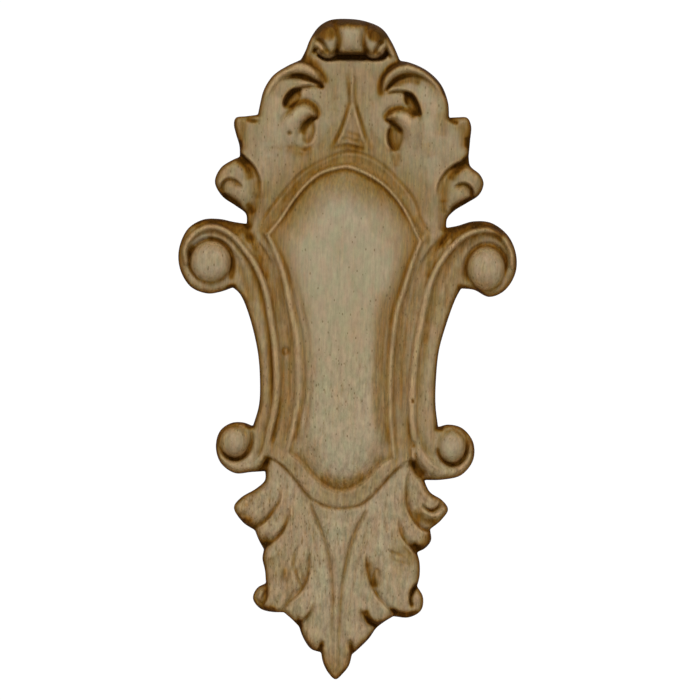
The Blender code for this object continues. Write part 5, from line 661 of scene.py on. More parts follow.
    # flutes along the lobes
    R.flutes([(304, 500), (313, 530), (322, 560), (326, 595), (326, 632)], [(287, 480), (294, 510), (300, 540), (313, 570), (314, 604)], 4, 1.0, 2.6, where=leafmask)
    R.flutes([(372, 512), (361, 540), (353, 570), (348, 600), (346, 632)], [(390, 486), (387, 512), (378, 542), (367, 570), (362, 600)], 4, 1.0, 2.6, where=leafmask)
    R.flutes([(283, 484), (284, 501), (277, 515), (263, 530)], [(289, 498), (288, 514), (282, 528), (268, 541)], 2, 0.9, 2.0)
    R.flutes([(402, 486), (402, 506), (408, 521), (419, 535)], [(396, 500), (396, 524), (402, 539), (413, 550)], 2, 0.9, 2.0)
    R.flutes([(290, 535), (274, 553), (269, 578), (272, 604)], [(304, 545), (304, 560), (294, 588), (287, 603)], 5, 0.9, 2.3)
    R.flutes([(382, 545), (373, 562), (384, 590), (394, 606)], [(400, 550), (416, 564), (414, 580), (407, 600)], 5, 0.9, 2.3)
    R.flutes([(264, 476), (252, 492), (240, 504)], [(280, 484), (276, 504), (258, 522)], 4, 0.9, 2.4)
    R.flutes([(416, 478), (424, 494), (434, 502)], [(407, 480), (410, 508), (424, 526)], 4, 0.9, 2.4)
    R.flutes([(316, 604), (308, 618), (300, 622)], [(324, 610), (320, 632), (312, 646)], 4, 0.7, 2.0)
    R.flutes([(352, 604), (362, 618), (372, 626)], [(345, 610), (350, 632), (358, 646)], 4, 0.7, 2.0)
    # left lobes
    step(R, [(282.5, 484), (282, 494), (280.5, 501), (276.5, 508), (271.5, 515.5), (266.5, 521), (261, 525.5), (254, 529.5)], (262, 505), [1, 2.4, 3.4, 4.2, 4.6, 4.8, 5.2, 6], [3, 4, 5, 5.5, 6, 6.5, 7, 7], 2.2, 3.2, ends=(0.15, 0.0))
    step(R, [(290, 503), (290.3, 514), (287.8, 523), (284, 531), (279, 537.5), (272.5, 543), (264, 549)], (275, 520), [1.5, 2.6, 3.6, 4.2, 4.8, 6, 7], [3, 3.6, 4.4, 5.4, 6.4, 7, 7], 2.4, 3.4, ends=(0.15, 0.0))
    R.groove([(276, 531), (269, 537), (262, 543), (256, 549)], [1, 3.5, 5, 5], [5, 6, 7, 7], ends=(0.3, 0.0))
    # the turned-over end of the upper lobe
    R.groove([(241.5, 499.5), (245, 497.6), (249, 498.8), (252, 502), (252.6, 506)], [1.2, 2.2, 2.2, 1.8, 1], 2.0, ends=(0.25, 0.25))
    R.groove([(244, 505.5), (247.5, 503.8), (251, 505)], 1.6, 1.7, ends=(0.3, 0.3))
    R.groove([(238, 511), (243.5, 514.5), (249, 513.5)], 1.6, 2.4, ends=(0.3, 0.3))
    R.mound(244, 508, 7, 5, 1.6)
    # third lobe
    step(R, [(309.8, 547), (310.8, 560), (309.8, 572), (307, 583), (302.5, 590.5), (296, 597), (290, 602), (284, 610)], (298, 570), [1, 2.4, 3.6, 4.6, 5, 5, 4.4, 3.6], [3, 6, 9, 11, 12, 11, 8, 6], 2.0, 3.2, ends=(0.15, 0.0))
    step(R, [(303, 543), (296.5, 547), (292.8, 555), (292.5, 566), (294, 575)], (300, 560), [1, 2.4, 3, 2.4, 1], 5, 0.6, 3)
    R.groove([(308.8, 552), (309.6, 563), (308.2, 574), (304.8, 583.5), (299.5, 590), (292, 596.5)], [1, 1.6, 1.8, 1.8, 1.6, 1], 1.8, ends=(0.2, 0.2))
    R.groove([(296.6, 566), (296.8, 574), (299.6, 582), (303.2, 588)], [2.4, 3.6, 3.6, 2.6], 2.1, ends=(0.15, 0.25))
    R.groove([(297, 566.5), (300.6, 569), (302.8, 575), (304, 582)], [2, 2.4, 2, 1.4], 1.8, ends=(0.15, 0.25))
    R.ridge([(299.6, 571), (300.4, 577), (303, 584)], 1.3, 1.7, ends=(0.3, 0.3))
    R.groove([(291.4, 578), (293, 585), (297, 589.5)], [1.0, 1.6, 1.0], 2.2, ends=(0.3, 0.3))
    R.groove([(289.5, 598), (293, 592), (297, 589)], 1.4, 2.0, ends=(0.3, 0.3))
    R.groove([(283.5, 564), (284.6, 572), (285, 581)], 1.3, 1.7, ends=(0.35, 0.35))
    R.groove([(279, 557), (280, 566)], 0.9, 1.6, ends=(0.35, 0.35))
    # small curl at the end of lobe three
    step(R, [(267, 581), (268.8, 589), (268, 597), (263.5, 604), (257, 607.5)], (258, 596), [8, 8, 7, 5, 3], [7, 8, 8, 7, 5], 1.2, 3.6, ends=(0.0, 0.2))
    R.ball(259.6, 595, 7.5, 9.5, 19.5, 7)
    R.groove([(265, 586.4), (259.6, 586.2), (255.8, 590), (255.4, 596), (258.4, 601), (263, 601.6)], [1.4, 3, 3.4, 3.4, 3.4, 2], 2.0, ends=(0.2, 0.2))
    R.ridge([(263.2, 588.6), (261.2, 593.6), (258.9, 598.2)], 2.2, 1.9, ends=(0.25, 0.25))
    R.groove([(265.6, 588), (264.4, 594), (261.6, 599.6)], 3.2, 1.8, ends=(0.25, 0.25))
    # lobe four and five, left
    step(R, [(313, 598), (311, 608), (306, 614.5), (300, 619.5), (292, 622)], (303, 628), [1, 3, 5, 6.5, 7], [4, 7, 9, 10, 9], 1.6, 4.5, ends=(0.2, 0.0))
    R.groove([(298.5, 618), (300.5, 626), (303, 634)], [7, 6, 2], 3.6, ends=(0.0, 0.3))
    R.groove([(324, 637), (320.8, 646), (318.5, 656)], [3, 7, 8], [3.4, 4, 4.4], ends=(0.3, 0.0))
    # right lobes
    step(R, [(411, 466), (407.5, 474), (405.3, 484), (404.8, 494), (406, 505), (409.5, 515), (415, 523.5), (422, 530), (432, 533)], (418, 505), [2, 3, 3.4, 4, 5, 5.8, 6.4, 7, 8], [3.4, 4.6, 5.6, 6.6, 7.6, 8, 8, 8, 7], 2.0, 3.2, ends=(0.1, 0.0))
    step(R, [(422, 502), (426, 507), (431, 509), (436.5, 506.5), (439.5, 501.5), (440, 496)], (433, 512), [2, 5, 7, 8, 7, 4], [4, 4.5, 5, 5, 5, 4.5], 1.0, 3.6, ends=(0.2, 0.0))
    R.ridge([(420, 506), (425.5, 512), (433, 515), (441, 512.5), (447, 506)], 3.4, 3.2, ends=(0.2, 0.1))
    R.groove([(414, 508), (421, 518), (431, 523), (440, 521)], [2, 4, 5, 5], [5, 6, 6, 5], ends=(0.3, 0.0))
    step(R, [(397.5, 514), (398, 526), (400.5, 535), (405, 542), (411, 548.5), (418, 555)], (408, 532), [1.5, 2.8, 4, 5, 6.4, 8], [3.2, 5, 7, 9, 9, 8], 2.0, 3.2, ends=(0.15, 0.0))
    R.groove([(410, 541), (416, 547), (423, 553)], [3, 6, 6], [5, 6, 6], ends=(0.3, 0.0))
    R.groove([(385.5, 519), (387, 528), (388.4, 534)], 2.0, 1.8, ends=(0.3, 0.3))
    R.groove([(386, 547), (391, 551), (398, 553), (405, 557.5)], 1.9, 1.7, ends=(0.25, 0.25))
    R.groove([(391, 556.5), (397.5, 560.5), (404.5, 562), (411, 565)], 1.6, 1.7, ends=(0.25, 0.25))
    R.groove([(401, 546), (407, 550), (412.5, 556)], 1.4, 1.6, ends=(0.25, 0.25))
    R.groove([(384, 560), (389, 563.5), (395, 568)], 1.1, 1.8, ends=(0.3, 0.3))
    R.groove([(402, 568), (408, 570), (413, 573)], 1.0, 1.7, ends=(0.3, 0.3))
    R.groove([(376.5, 548), (381, 552)], 1.4, 1.8, ends=(0.3, 0.3))
    step(R, [(365, 548), (365.6, 562), (367.2, 574), (370.3, 584), (374.8, 593), (380.2, 600.5), (386.4, 606.5), (394, 612)], (378, 582), [1, 2.4, 3.6, 4.4, 4.6, 4.6, 4.6, 4.6], [3, 6, 8, 10, 10, 9, 7, 6], 2.0, 3.2, ends=(0.15, 0.0))
    R.groove([(365.4, 555), (366.2, 567), (368.6, 578), (372.6, 587.5), (378, 596), (385, 603)], [1, 1.6, 1.8, 1.8, 1.6, 1], 1.8, ends=(0.2, 0.2))
    R.pit([(376.8, 566), (379.4, 573), (379.2, 581), (376.6, 588), (373.2, 585), (372.8, 577), (374.4, 570)], 1.6, 3.0)
    R.groove([(376, 566.5), (373.8, 574), (373.2, 582), (374.4, 589)], [2.4, 3, 3, 2], 1.9, ends=(0.15, 0.3))
    R.groove([(376.8, 566.5), (379.2, 573), (379.8, 580), (378.6, 588)], [2, 2.6, 2.4, 1.6], 1.8, ends=(0.15, 0.3))
    R.ridge([(383, 572), (384.4, 580), (385.6, 589)], 1.0, 2.0, ends=(0.3, 0.3))
    R.groove([(386.6, 576), (388.2, 585), (390, 594)], 0.9, 2.0, ends=(0.3, 0.3))
    step(R, [(418, 582), (413, 587), (409.6, 594), (409, 601), (411.5, 609)], (416, 598), [8, 8, 7, 6, 3], [6, 7, 8, 7, 5], 1.2, 3.6, ends=(0.0, 0.2))
    R.ball(416.4, 599.5, 6.4, 10.0, 19.5, 7.5)
    R.groove([(412.5, 591.5), (410.4, 599.5), (412.4, 607.5)], 2.8, 1.8, ends=(0.25, 0.25))
    R.groove([(419, 583), (414.4, 587), (411.6, 592.5)], [6, 6, 3], [3.2, 3.0, 2.6], ends=(0.0, 0.3))
    R.groove([(415.5, 593.5), (417.6, 598.5), (416.4, 604.5)], 1.6, 1.6, ends=(0.3, 0.3))
    R.groove([(392, 610.5), (401, 613.5), (411, 614), (419, 611.5)], [7, 6.5, 5, 3], [4.2, 4.6, 4.6, 4], ends=(0.0, 0.2))
    step(R, [(360.5, 604), (364.3, 614), (369, 620), (376, 623.8), (386, 622.5)], (368, 630), [1, 5, 9, 10, 9], [5, 8, 9, 9, 8], 1.6, 4.5, ends=(0.2, 0.0))
    R.groove([(364, 607), (366.4, 614), (371, 620.5), (378, 624), (386, 622.5)], [2, 4, 6, 6, 3], [2.4, 3, 3.6, 3.6, 3], ends=(0.2, 0.0))
    R.groove([(348.5, 637), (351.5, 646), (353, 656)], [3, 7, 8], [3.4, 4, 4.6], ends=(0.3, 0.0))

    # ---------------------------------------------------------------- outer edge
    R.H = WALL + (R.H - WALL) * pillow(np.clip(S, 0, None) / EDGE_ROUND, 2.0)
    R.H = blur(R.H, SOFTEN / stp)
    return R



def sample(A, R, x, y):
    """Bilinear reading of a map at points of the drawing."""
    u = np.clip((x - X_LO) / R.step, 0, R.nx - 1.001)
    v = np.clip((y - Y_LO) / R.step, 0, R.ny - 1.001)
    i, j = u.astype(int), v.astype(int)
    fu, fv = u - i, v - j
    return (A[j, i] * (1 - fu) * (1 - fv) + A[j, i + 1] * fu * (1 - fv) + A[j + 1, i] * (1 - fu) * fv + A[j + 1, i + 1] * fu * fv)


def front_net(R, k):
    """The relief as points (x, y on the drawing) and triangles that run counter-clockwise as seen from the front.
    Every k-th sample of the map is a node. Nodes next to the outline are moved onto it."""
    S = R.S[::k, ::k].copy()
    x, y = R.X[::k, ::k].copy(), R.Y[::k, ::k].copy()
    g = R.step * k
    gy, gx = np.gradient(S, g)
    m2 = np.maximum(gx * gx + gy * gy, 0.3)
    near = np.abs(S) < 0.38 * g
    x = np.where(near, x - S * gx / m2, x)
    y = np.where(near, y - S * gy / m2, y)
    S[near] = 0
    ny, nx = S.shape
    ids = -np.ones(S.shape, int)
    use = S >= 0
    # a node on the outline counts only if a neighbour is truly inside
    ids[use] = np.arange(use.sum())
    px, py = list(x[use]), list(y[use])
    cross = {}

    def crossing(a, b):
        key = (a, b) if a < b else (b, a)
        if key not in cross:
            s0, s1 = S[key[0]], S[key[1]]
            t = s0 / (s0 - s1)
            px.append(x[key[0]] * (1 - t) + x[key[1]] * t)
            py.append(y[key[0]] * (1 - t) + y[key[1]] * t)
            cross[key] = len(px) - 1
        return cross[key]

    c = np.stack([S[:-1, :-1], S[1:, :-1], S[1:, 1:], S[:-1, 1:]])
    full = (c >= 0).all(0) & (c > 0).any(0)
    part = (c > 0).any(0) & (c < 0).any(0)
    tris = []
    H = R.H[::k, ::k]
    tl, bl, br, tr = ids[:-1, :-1][full], ids[1:, :-1][full], ids[1:, 1:][full], ids[:-1, 1:][full]
    h = np.stack([H[:-1, :-1][full], H[1:, :-1][full], H[1:, 1:][full], H[:-1, 1:][full]])
    first = np.abs(h[0] - h[2]) <= np.abs(h[1] - h[3])
    tris.append(np.stack([tl, bl, br], 1)[first])
    tris.append(np.stack([tl, br, tr], 1)[first])
    tris.append(np.stack([tl, bl, tr], 1)[~first])
    tris.append(np.stack([bl, br, tr], 1)[~first])
    extra = []
    for j, i in zip(*np.nonzero(part)):
        corners = [(j, i), (j + 1, i), (j + 1, i + 1), (j, i + 1)]
        loop = []
        for n in range(4):
            a, b = corners[n], corners[(n + 1) % 4]
            if S[a] >= 0:
                loop.append(ids[a])
            if S[a] * S[b] < 0:
                loop.append(crossing(a, b))
        for n in range(1, len(loop) - 1):
            extra.append((loop[0], loop[n], loop[n + 1]))
    if extra:
        tris.append(np.array(extra))
    F = np.concatenate(tris)
    P = np.stack([px, py], 1)
    # drop triangles of no area and nodes that nothing uses
    a, b, cc = P[F[:, 0]], P[F[:, 1]], P[F[:, 2]]
    area = -((b - a)[:, 0] * (cc - a)[:, 1] - (b - a)[:, 1] * (cc - a)[:, 0])
    F = F[area > 1e-6]
    F = F[np.isin(F, one_body(F, len(P))).all(1)]
    used = np.unique(F)
    new = -np.ones(len(P), int)
    new[used] = np.arange(len(used))
    return P[used], new[F]


def one_body(F, n):
    """The nodes of the largest connected group of triangles."""
    label = np.arange(n)
    while True:
        low = label[F].min(1)
        nxt = label.copy()
        np.minimum.at(nxt, F[:, 0], low)
        np.minimum.at(nxt, F[:, 1], low)
        np.minimum.at(nxt, F[:, 2], low)
        nxt = nxt[nxt]
        if (nxt == label).all():
            break
        label = nxt
    names, count = np.unique(label[F[:, 0]], return_counts=True)
    return np.nonzero(label == names[count.argmax()])[0]


def rim_edges(F):
    """Directed edges that only one triangle has."""
    E = np.concatenate([F[:, [0, 1]], F[:, [1, 2]], F[:, [2, 0]]])
    key = E[:, 0].astype(np.int64) * (F.max() + 1) + E[:, 1]
    back = E[:, 1].astype(np.int64) * (F.max() + 1) + E[:, 0]
    return E[~np.isin(key, back)]


# ---------------------------------------------------------------- from drawing to metres
UNIT = PLAQUE_HEIGHT / math.hypot(AXIS_TOP[0] - AXIS_TIP[0], AXIS_TOP[1] - AXIS_TIP[1])
LEAN = math.atan2(AXIS_TOP[0] - AXIS_TIP[0], AXIS_TIP[1] - AXIS_TOP[1])
CENTRE = ((AXIS_TOP[0] + AXIS_TIP[0]) / 2, (AXIS_TOP[1] + AXIS_TIP[1]) / 2)


def upright(P, h):
    """Points of the drawing at height h above the back, as metres in the finished frame."""
    dx, dz = P[:, 0] - CENTRE[0], CENTRE[1] - P[:, 1]
    c, s = math.cos(LEAN), math.sin(LEAN)
    return np.stack([(dx * c - dz * s) * UNIT, -np.asarray(h) * UNIT, (dx * s + dz * c) * UNIT], 1)


WALL_RINGS = (11.5, 8.5, 5.5, 2.8, 0.0)   # heights of the rings down the side wall


def tones_and_shade(R):
    """Glaze that was left on wide surfaces and along lines, on top of what the hollows hold, with painted shade on the
    field's slopes, at the outline, on the balls' rims and on the knob, and painted shadow in the deepest corners.
    """
    X, Y, S = R.X, R.Y, np.clip(R.S, 0, None)
    px = 1 / R.step

    def mask(*lines):
        return blur(R.inside(np.vstack(lines)).astype(float), 1.6 * px)

    low = blur((~R.inside(np.vstack([spline(SILL_OUT), [(440, 440), (440, 100), (240, 100), (240, 440)]])) & (Y > 455)).astype(float), 1.5 * px)
    arch = mask(spline(ARCH_OUT), spline(ARCH_BEAD)[::-1])
    sill = mask([(266, 446)], spline(SILL_IN), [(412, 440), (415, 460)], spline(SILL_OUT)[::-1])
    cove_l = mask(spline(STEM_L[9:-1]), spline(BEAD_L)[::-1], [(258, 222)])
    cove_r = mask(spline(STEM_R[9:-2]), spline(BEAD_R)[::-1], [(432, 224)])
    tone = np.full_like(X, 0.17)
    top = smooth((224 - Y) / 16)
    D, _, _ = R.distance(spline(ARCH_OUT), 34)
    crest = 0.11 + 0.09 * np.exp(-((X - 352) / 34) ** 2 - ((Y - 105) / 60) ** 2) + 0.24 * np.clip(1 - D / 33, 0, 1) ** 1.2
    for weight, value in ((top, crest), (low, 0.07 + 0.18 * smooth((Y - 636) / 36)), (np.maximum(cove_l, cove_r), 0.25),
                          (sill, 0.21), (arch, 0.40)):
        tone = tone * (1 - weight) + value * weight
    # the field darker down its slopes toward the rails: glaze and painted shade, more at the top and less at the bottom
    field = smooth(R.field / 2.5)
    tone = tone * (1 - field) + field * (0.43 + 0.09 * smooth((225 - Y) / 36) - 0.08 * smooth((Y - 420) / 30)) * (1 - R.rise) ** (0.95 - 0.22 * smooth((230 - Y) / 36))
    # the balls pale in the middle and darker toward their rims: painted shade on the domes, with glaze at the rims
    for cx, cy, rx, ry, pale in ((211, 262, 20.5, 21.5, 0.04), (485.8, 269, 19, 22.5, 0.05), (234.3, 441, 15.4, 16, 0.08), (451.4, 446, 14.6, 16.8, 0.04)):
        r2 = ((X - cx) / rx) ** 2 + ((Y - cy) / ry) ** 2
        tone = np.where(r2 < 1, pale + 0.28 * r2 ** 1.8, tone)
    # darker toward the outline where the edge rounds over: glaze and painted shade
    tone += 0.15 * np.exp(-S / 9.0) + 0.34 * np.exp(-S / 2.4)
    # the curled ends darken toward their rims and the drum of the knob toward its top and bottom: painted shade where
    # these rolls turn away, with some glaze, and painted shadow under the drum; the knob's lobes are darker above and
    # paler below
    for end, near in ((CURL_END_L, smooth((124 - Y) / 12) * smooth((X - 284) / 8)), (CURL_END_R, smooth((127 - Y) / 12) * smooth((420 - X) / 8))):
        E, _ = R.signed(spline(end, closed=True), 12)
        tone += 0.47 * smooth((E + 2.4) / 2.4) * smooth((10 - E) / 8.5) * near
    # glaze and painted shade in the crease under the arch's bead, most on its two legs
    tone += 0.24 * np.exp(-((R.field - 1.0) / 1.1) ** 2) * smooth((232 - Y) / 10) * (0.35 + 0.65 * smooth((np.abs(X - 345) - 14) / 30))
    drum = smooth((16 - np.abs(X - 350.8)) / 5) * (Y < 60)
    tone += drum * (0.38 * smooth((Y - 49) / 8) + 0.62 * smooth((33 - Y) / 11) - 0.10 * smooth(1 - ((X - 350) / 11) ** 2 - ((Y - 35) / 9) ** 2))
    for cx, cy, rx, ry, amount in ((326, 33, 15, 12, 0.47), (377, 34, 13, 12, 0.64), (329, 44, 6, 8, -0.14), (372, 46, 5, 8, -0.10)):
        tone += amount * smooth(1.4 * (1 - ((X - cx) / rx) ** 2 - ((Y - cy) / ry) ** 2))
    strokes = (
        # the outer flanks of the upper lips, the hollows under them, the rims of the curled ends, the holes and the
        # eyes: glaze, with painted shadow under the lips and in the holes and eyes
        ([(294, 57), (303, 59.5), (311, 63), (317, 69.5), (321.5, 77), (325.5, 87)], 0.52, 8), ([(408, 63.5), (396, 65.5), (387, 72.5), (382, 81.5), (380.5, 91), (382.5, 99)], 0.62, 5.5),
        ([(399, 61.5), (410, 63.5), (422, 68.5), (433, 76.5), (441, 86), (446, 99)], 0.46, 5),
        ([(290, 76), (300, 77), (309, 80.5)], 0.24, 4.5), ([(392, 85), (402, 81), (412, 80), (422, 84)], 0.40, 7), ([(193, 246), (200, 240), (209, 237)], -0.45, 5.5),
        ([(299, 91), (292, 98), (286, 108)], 0.43, 9.5), ([(406, 94), (412, 103), (419, 118)], 0.45, 9.5),
        ([(312, 122), (308.5, 134), (306, 144)], 0.18, 8), ([(316, 119), (309, 122), (304, 127), (301.5, 136)], 0.44, 6), ([(391, 127), (393, 137), (395, 153)], 0.40, 9.5), ([(388, 122), (396, 127), (401, 133)], 0.30, 5), ([(396, 152), (396.5, 168)], 0.20, 5),
        ([(288, 146), (299, 152), (313, 148)], 0.20, 8), ([(262, 152), (280, 148), (292, 150)], 0.07, 8),
        ([(294, 117), (303, 110)], -0.14, 10), ([(398, 115), (409, 120)], -0.14, 10), ([(277, 95), (272, 120), (276, 140)], -0.05, 16), ([(432, 95), (434, 120), (428, 140)], -0.05, 16),
        # the rib of the crest
        ([(348, 100), (343.5, 120), (338, 137), (329, 152)], 0.17, 5), ([(356, 104), (362, 123), (366.5, 139), (374, 152)], 0.13, 4), ([(350, 82), (350, 97)], 0.10, 8), ([(438, 112), (441, 124), (440, 138)], 0.13, 11), ([(428, 142), (432, 158)], 0.10, 12), ([(262, 180), (262, 200)], 0.14, 10), ([(268, 142), (267, 158)], -0.09, 11), ([(339, 147), (352, 148), (366, 148)], 0.22, 7), ([(344, 134), (353, 137), (361, 140)], 0.12, 6),
        ([(314, 65), (318, 69.5), (321, 75)], -0.14, 4), ([(399, 65.5), (391, 69), (387, 73)], 0.20, 5), ([(302, 51), (308, 52.5), (314, 54)], 0.12, 6),
        # the left shoulder of the arch holds more glaze, the right one less; the middle top of the field is paler
        ([(284, 204), (290, 193), (300, 180)], 0.15, 6), ([(402, 194), (410, 205), (415, 218)], -0.12, 7), ([(332, 176), (345, 175), (358, 177)], -0.08, 9),
        ([(296, 446), (318, 466), (342, 474), (364, 468), (384, 450)], -0.06, 16),
        # ears and side curls, with painted shade down the curls' cliffs and painted shadow under them
        ([(457, 124), (462, 135), (463, 148)], 0.12, 8), ([(240, 162), (244, 166), (249, 173)], 0.16, 6), ([(464, 164), (459, 168.5), (454, 174)], 0.18, 6),
        ([(192, 233), (200, 226), (210, 222.5)], -0.12, 6), ([(501, 234), (492, 228), (481, 225.5)], -0.17, 6), ([(189.5, 255), (190.5, 268), (195, 281)], -0.12, 6), ([(504, 258), (504.5, 270), (501, 283)], -0.09, 6),
        ([(500, 248), (492, 241), (480, 239)], -0.10, 6), ([(198, 262), (200, 272), (205, 281)], -0.06, 6),
        ([(241, 119), (241.5, 135), (241, 152)], 0.20, 10), ([(467, 121), (469, 138), (467, 154)], 0.18, 9),
        ([(237, 158), (247, 167), (252, 181)], 0.52, 8), ([(252, 178), (253.5, 196)], 0.16, 7), ([(247, 203), (254, 214)], 0.40, 5), ([(471, 160), (458, 168), (448, 180)], 0.56, 8), ([(449, 176), (444.5, 192), (444, 204)], 0.30, 7), ([(443.5, 200), (444, 214)], 0.20, 6),
        ([(219, 190), (228, 199), (240, 208)], 0.30, 6), ([(476, 195), (465, 203), (450, 214)], 0.30, 6), ([(228, 183), (238, 186)], 0.15, 6), ([(458, 187), (468, 191)], 0.15, 6),
        # scrolls: outer slopes, channels, joints
        ([(192, 230), (203, 223), (218, 222), (232, 226), (246, 233), (256, 244)], 0.40, 8), ([(506, 240), (492, 227.5), (474, 225.5), (458, 230), (446, 238), (437, 249)], 0.56, 7),
        ([(246, 233), (254, 246), (261, 262), (267, 282)], 0.26, 7), ([(444, 241), (434, 259), (427, 280)], 0.22, 7),
        ([(237, 246), (249, 262), (258, 285), (265, 315), (270, 350), (272, 385), (270, 412)], 0.20, 5),
        ([(508, 262), (504, 246), (492, 236.5), (476, 237.5), (462, 247), (450, 262), (440, 280), (432.5, 305), (425, 340), (427, 325)], 0.16, 6), ([(455, 298), (443, 326), (435, 352), (431, 380), (430, 412), (434, 430)], -0.11, 11), ([(245, 306), (254, 335), (260, 370), (259, 405)], -0.10, 8),
        ([(430, 277), (421, 302), (415, 326), (411, 350), (408.5, 376), (407, 400), (408, 426)], -0.24, 3.8), ([(287, 278), (293, 296), (300, 322), (302.5, 350), (303, 385), (302.5, 410), (300, 432)], -0.26, 4.8), ([(280, 318), (280.5, 340), (281, 372), (281, 402)], -0.12, 3.8), ([(391, 318), (387, 345), (385.8, 375), (386, 405), (388, 432)], -0.18, 4.5), ([(382, 285), (377.5, 335), (376.5, 375), (377, 415), (380, 440)], 0.17, 10),
        ([(236, 262), (246, 282), (252, 304)], 0.12, 10), ([(460, 266), (449, 286), (442, 310)], 0.12, 10),
        ([(411, 461), (416, 470), (423, 477)], 0.36, 8), ([(269, 456), (264, 465), (257, 469)], 0.36, 7),
        # knob: painted shade along its top rim and painted shadow beneath it
        ([(339, 34), (339.5, 42), (336.5, 51)], 0.12, 5), ([(362.5, 34), (362.5, 42), (366, 51)], 0.06, 5), ([(314, 35), (319, 28), (327, 23), (338, 20.5), (350, 20), (364, 21.5), (378, 26), (388, 37)], 0.40, 8.5),
        ([(316, 54), (336, 54), (352, 56), (368, 54), (387, 55)], 0.42, 6), ([(316, 48), (324, 53)], 0.22, 5), ([(388, 40), (395, 56)], 0.10, 6),
        # leaf, with painted shadow in the notches between its lobes
        (LEAF_LINES[1], 0.02, 6), ([(232, 256), (234.5, 268), (231, 281)], 0.18, 5), ([(287.5, 452), (301, 463), (316, 480), (330, 489), (342, 491.5), (356, 487), (370, 476), (381, 465)], 0.05, 5), ([(318, 472), (330, 480), (342, 482), (356, 479), (366, 472)], 0.16, 9), ([(292, 440), (300, 452)], -0.12, 9), ([(391, 444), (381, 456)], -0.12, 9),
        ([(302, 556), (303, 572), (299, 583)], 0.12, 9), ([(368, 560), (371, 576), (375, 588)], 0.30, 7), ([(378, 594), (384, 601), (390, 607)], -0.20, 5), ([(256, 596), (259, 603), (268, 608), (277, 610)], 0.12, 5), ([(376, 566), (376.5, 578), (376, 588)], 0.16, 6), ([(286, 566), (287, 582), (284, 598)], 0.14, 8),
        ([(246, 516), (252, 522), (258, 524)], 0.10, 6), ([(431, 534), (425, 541), (419, 545)], 0.14, 7), ([(253, 598), (260, 602), (270, 606), (278, 606)], 0.14, 6),
        ([(281, 500), (272, 514), (258, 526)], 0.14, 6), ([(288, 512), (280, 534), (268, 545)], 0.14, 6), ([(270, 538), (259, 547)], 0.32, 9),
        ([(405, 488), (407, 508), (420, 526)], 0.18, 8), ([(399, 525), (405, 541), (417, 552)], 0.18, 8), ([(412, 543), (422, 552)], 0.34, 8), ([(414, 508), (424, 520), (438, 521)], 0.26, 8),
        ([(388, 551), (404, 555), (417, 561)], 0.16, 12), ([(392, 566), (404, 570)], 0.10, 12), ([(275, 553), (282, 566), (284, 582)], 0.14, 14), ([(264, 556), (270, 566)], 0.10, 9),
        ([(266, 585), (266, 596), (261, 604)], 0.30, 6), ([(413, 587), (410, 598), (413, 609)], 0.30, 6),
        ([(292, 619), (302, 635), (318, 651)], 0.24, 7), ([(352, 652), (368, 640), (384, 624), (400, 617)], 0.28, 7), ([(392, 611), (406, 614), (420, 611)], 0.34, 6), ([(365, 608), (368, 617), (375, 622.5), (384, 622)], 0.75, 5), ([(257, 607), (266, 609), (277, 610)], 0.36, 6), ([(243, 517), (250, 523), (257, 528)], 0.26, 7), ([(428, 532), (427, 541), (421, 549)], 0.26, 7), ([(458, 124), (464, 135), (466, 150)], 0.16, 8), ([(418, 583), (413, 588), (411, 595)], 0.40, 4.5),
        ([(238, 512), (250, 524)], 0.16, 8), ([(243, 503), (250, 506)], 0.12, 7),
        # painted shadow in the deepest corners, notches, holes and slits and under the side curls, and in two small
        # marks
        ([(412.3, 398.6), (412.8, 403.2)], 0.60, 2.6), ([(285.4, 349.5), (285.4, 353.5)], 0.16, 3.5),
        ([(222, 194), (231, 201), (242, 209)], 0.55, 4), ([(475, 197), (464, 204), (451, 213)], 0.55, 4), ([(246, 120), (257, 122)], 0.35, 4), ([(449, 120), (459, 124)], 0.5, 4),
        ([(466.5, 137), (467, 149)], 0.45, 3), ([(240, 140), (241, 148)], 0.4, 3), ([(299, 88), (290, 91.5), (284.5, 99), (284, 108)], 0.34, 3.2), ([(405, 93), (412, 95), (418, 104), (421, 118)], 0.30, 3.2), ([(300, 89), (300.4, 99)], 0.20, 2.6), ([(404.8, 93), (406.6, 106)], 0.50, 3.6),
        ([(309, 80.5), (325, 88.5)], 0.34, 4), ([(386, 93), (395, 83.5)], 0.34, 4), ([(413, 547), (422, 553)], 0.45, 5), ([(270, 542), (259, 549)], 0.42, 5),
        ([(390, 609), (402, 614), (418, 613)], 0.42, 4.5), ([(297, 618), (302, 628)], 0.35, 5), ([(349, 644), (353, 655)], 0.35, 4.5), ([(323, 643), (318, 655)], 0.35, 4.5),
        ([(245, 424), (253, 428)], 0.45, 5), ([(434, 428), (444, 429)], 0.45, 5), ([(226, 288), (238, 287)], 0.4, 5), ([(456, 288), (468, 289)], 0.4, 5),
        ([(239, 154), (245, 158)], 0.4, 4), ([(469, 155), (462, 161)], 0.4, 4), ([(244, 224), (252, 229)], 0.25, 6), ([(450, 228), (443, 234)], 0.25, 6),
    )
    for line, amount, half in strokes:
        D, T, _ = R.distance(spline(line), 1.01 * half)
        u = np.clip(D / half, 0, 1)
        tone += amount * (1 - u * u) ** 2 * taper(T, (0.12, 0.12))
    return tone


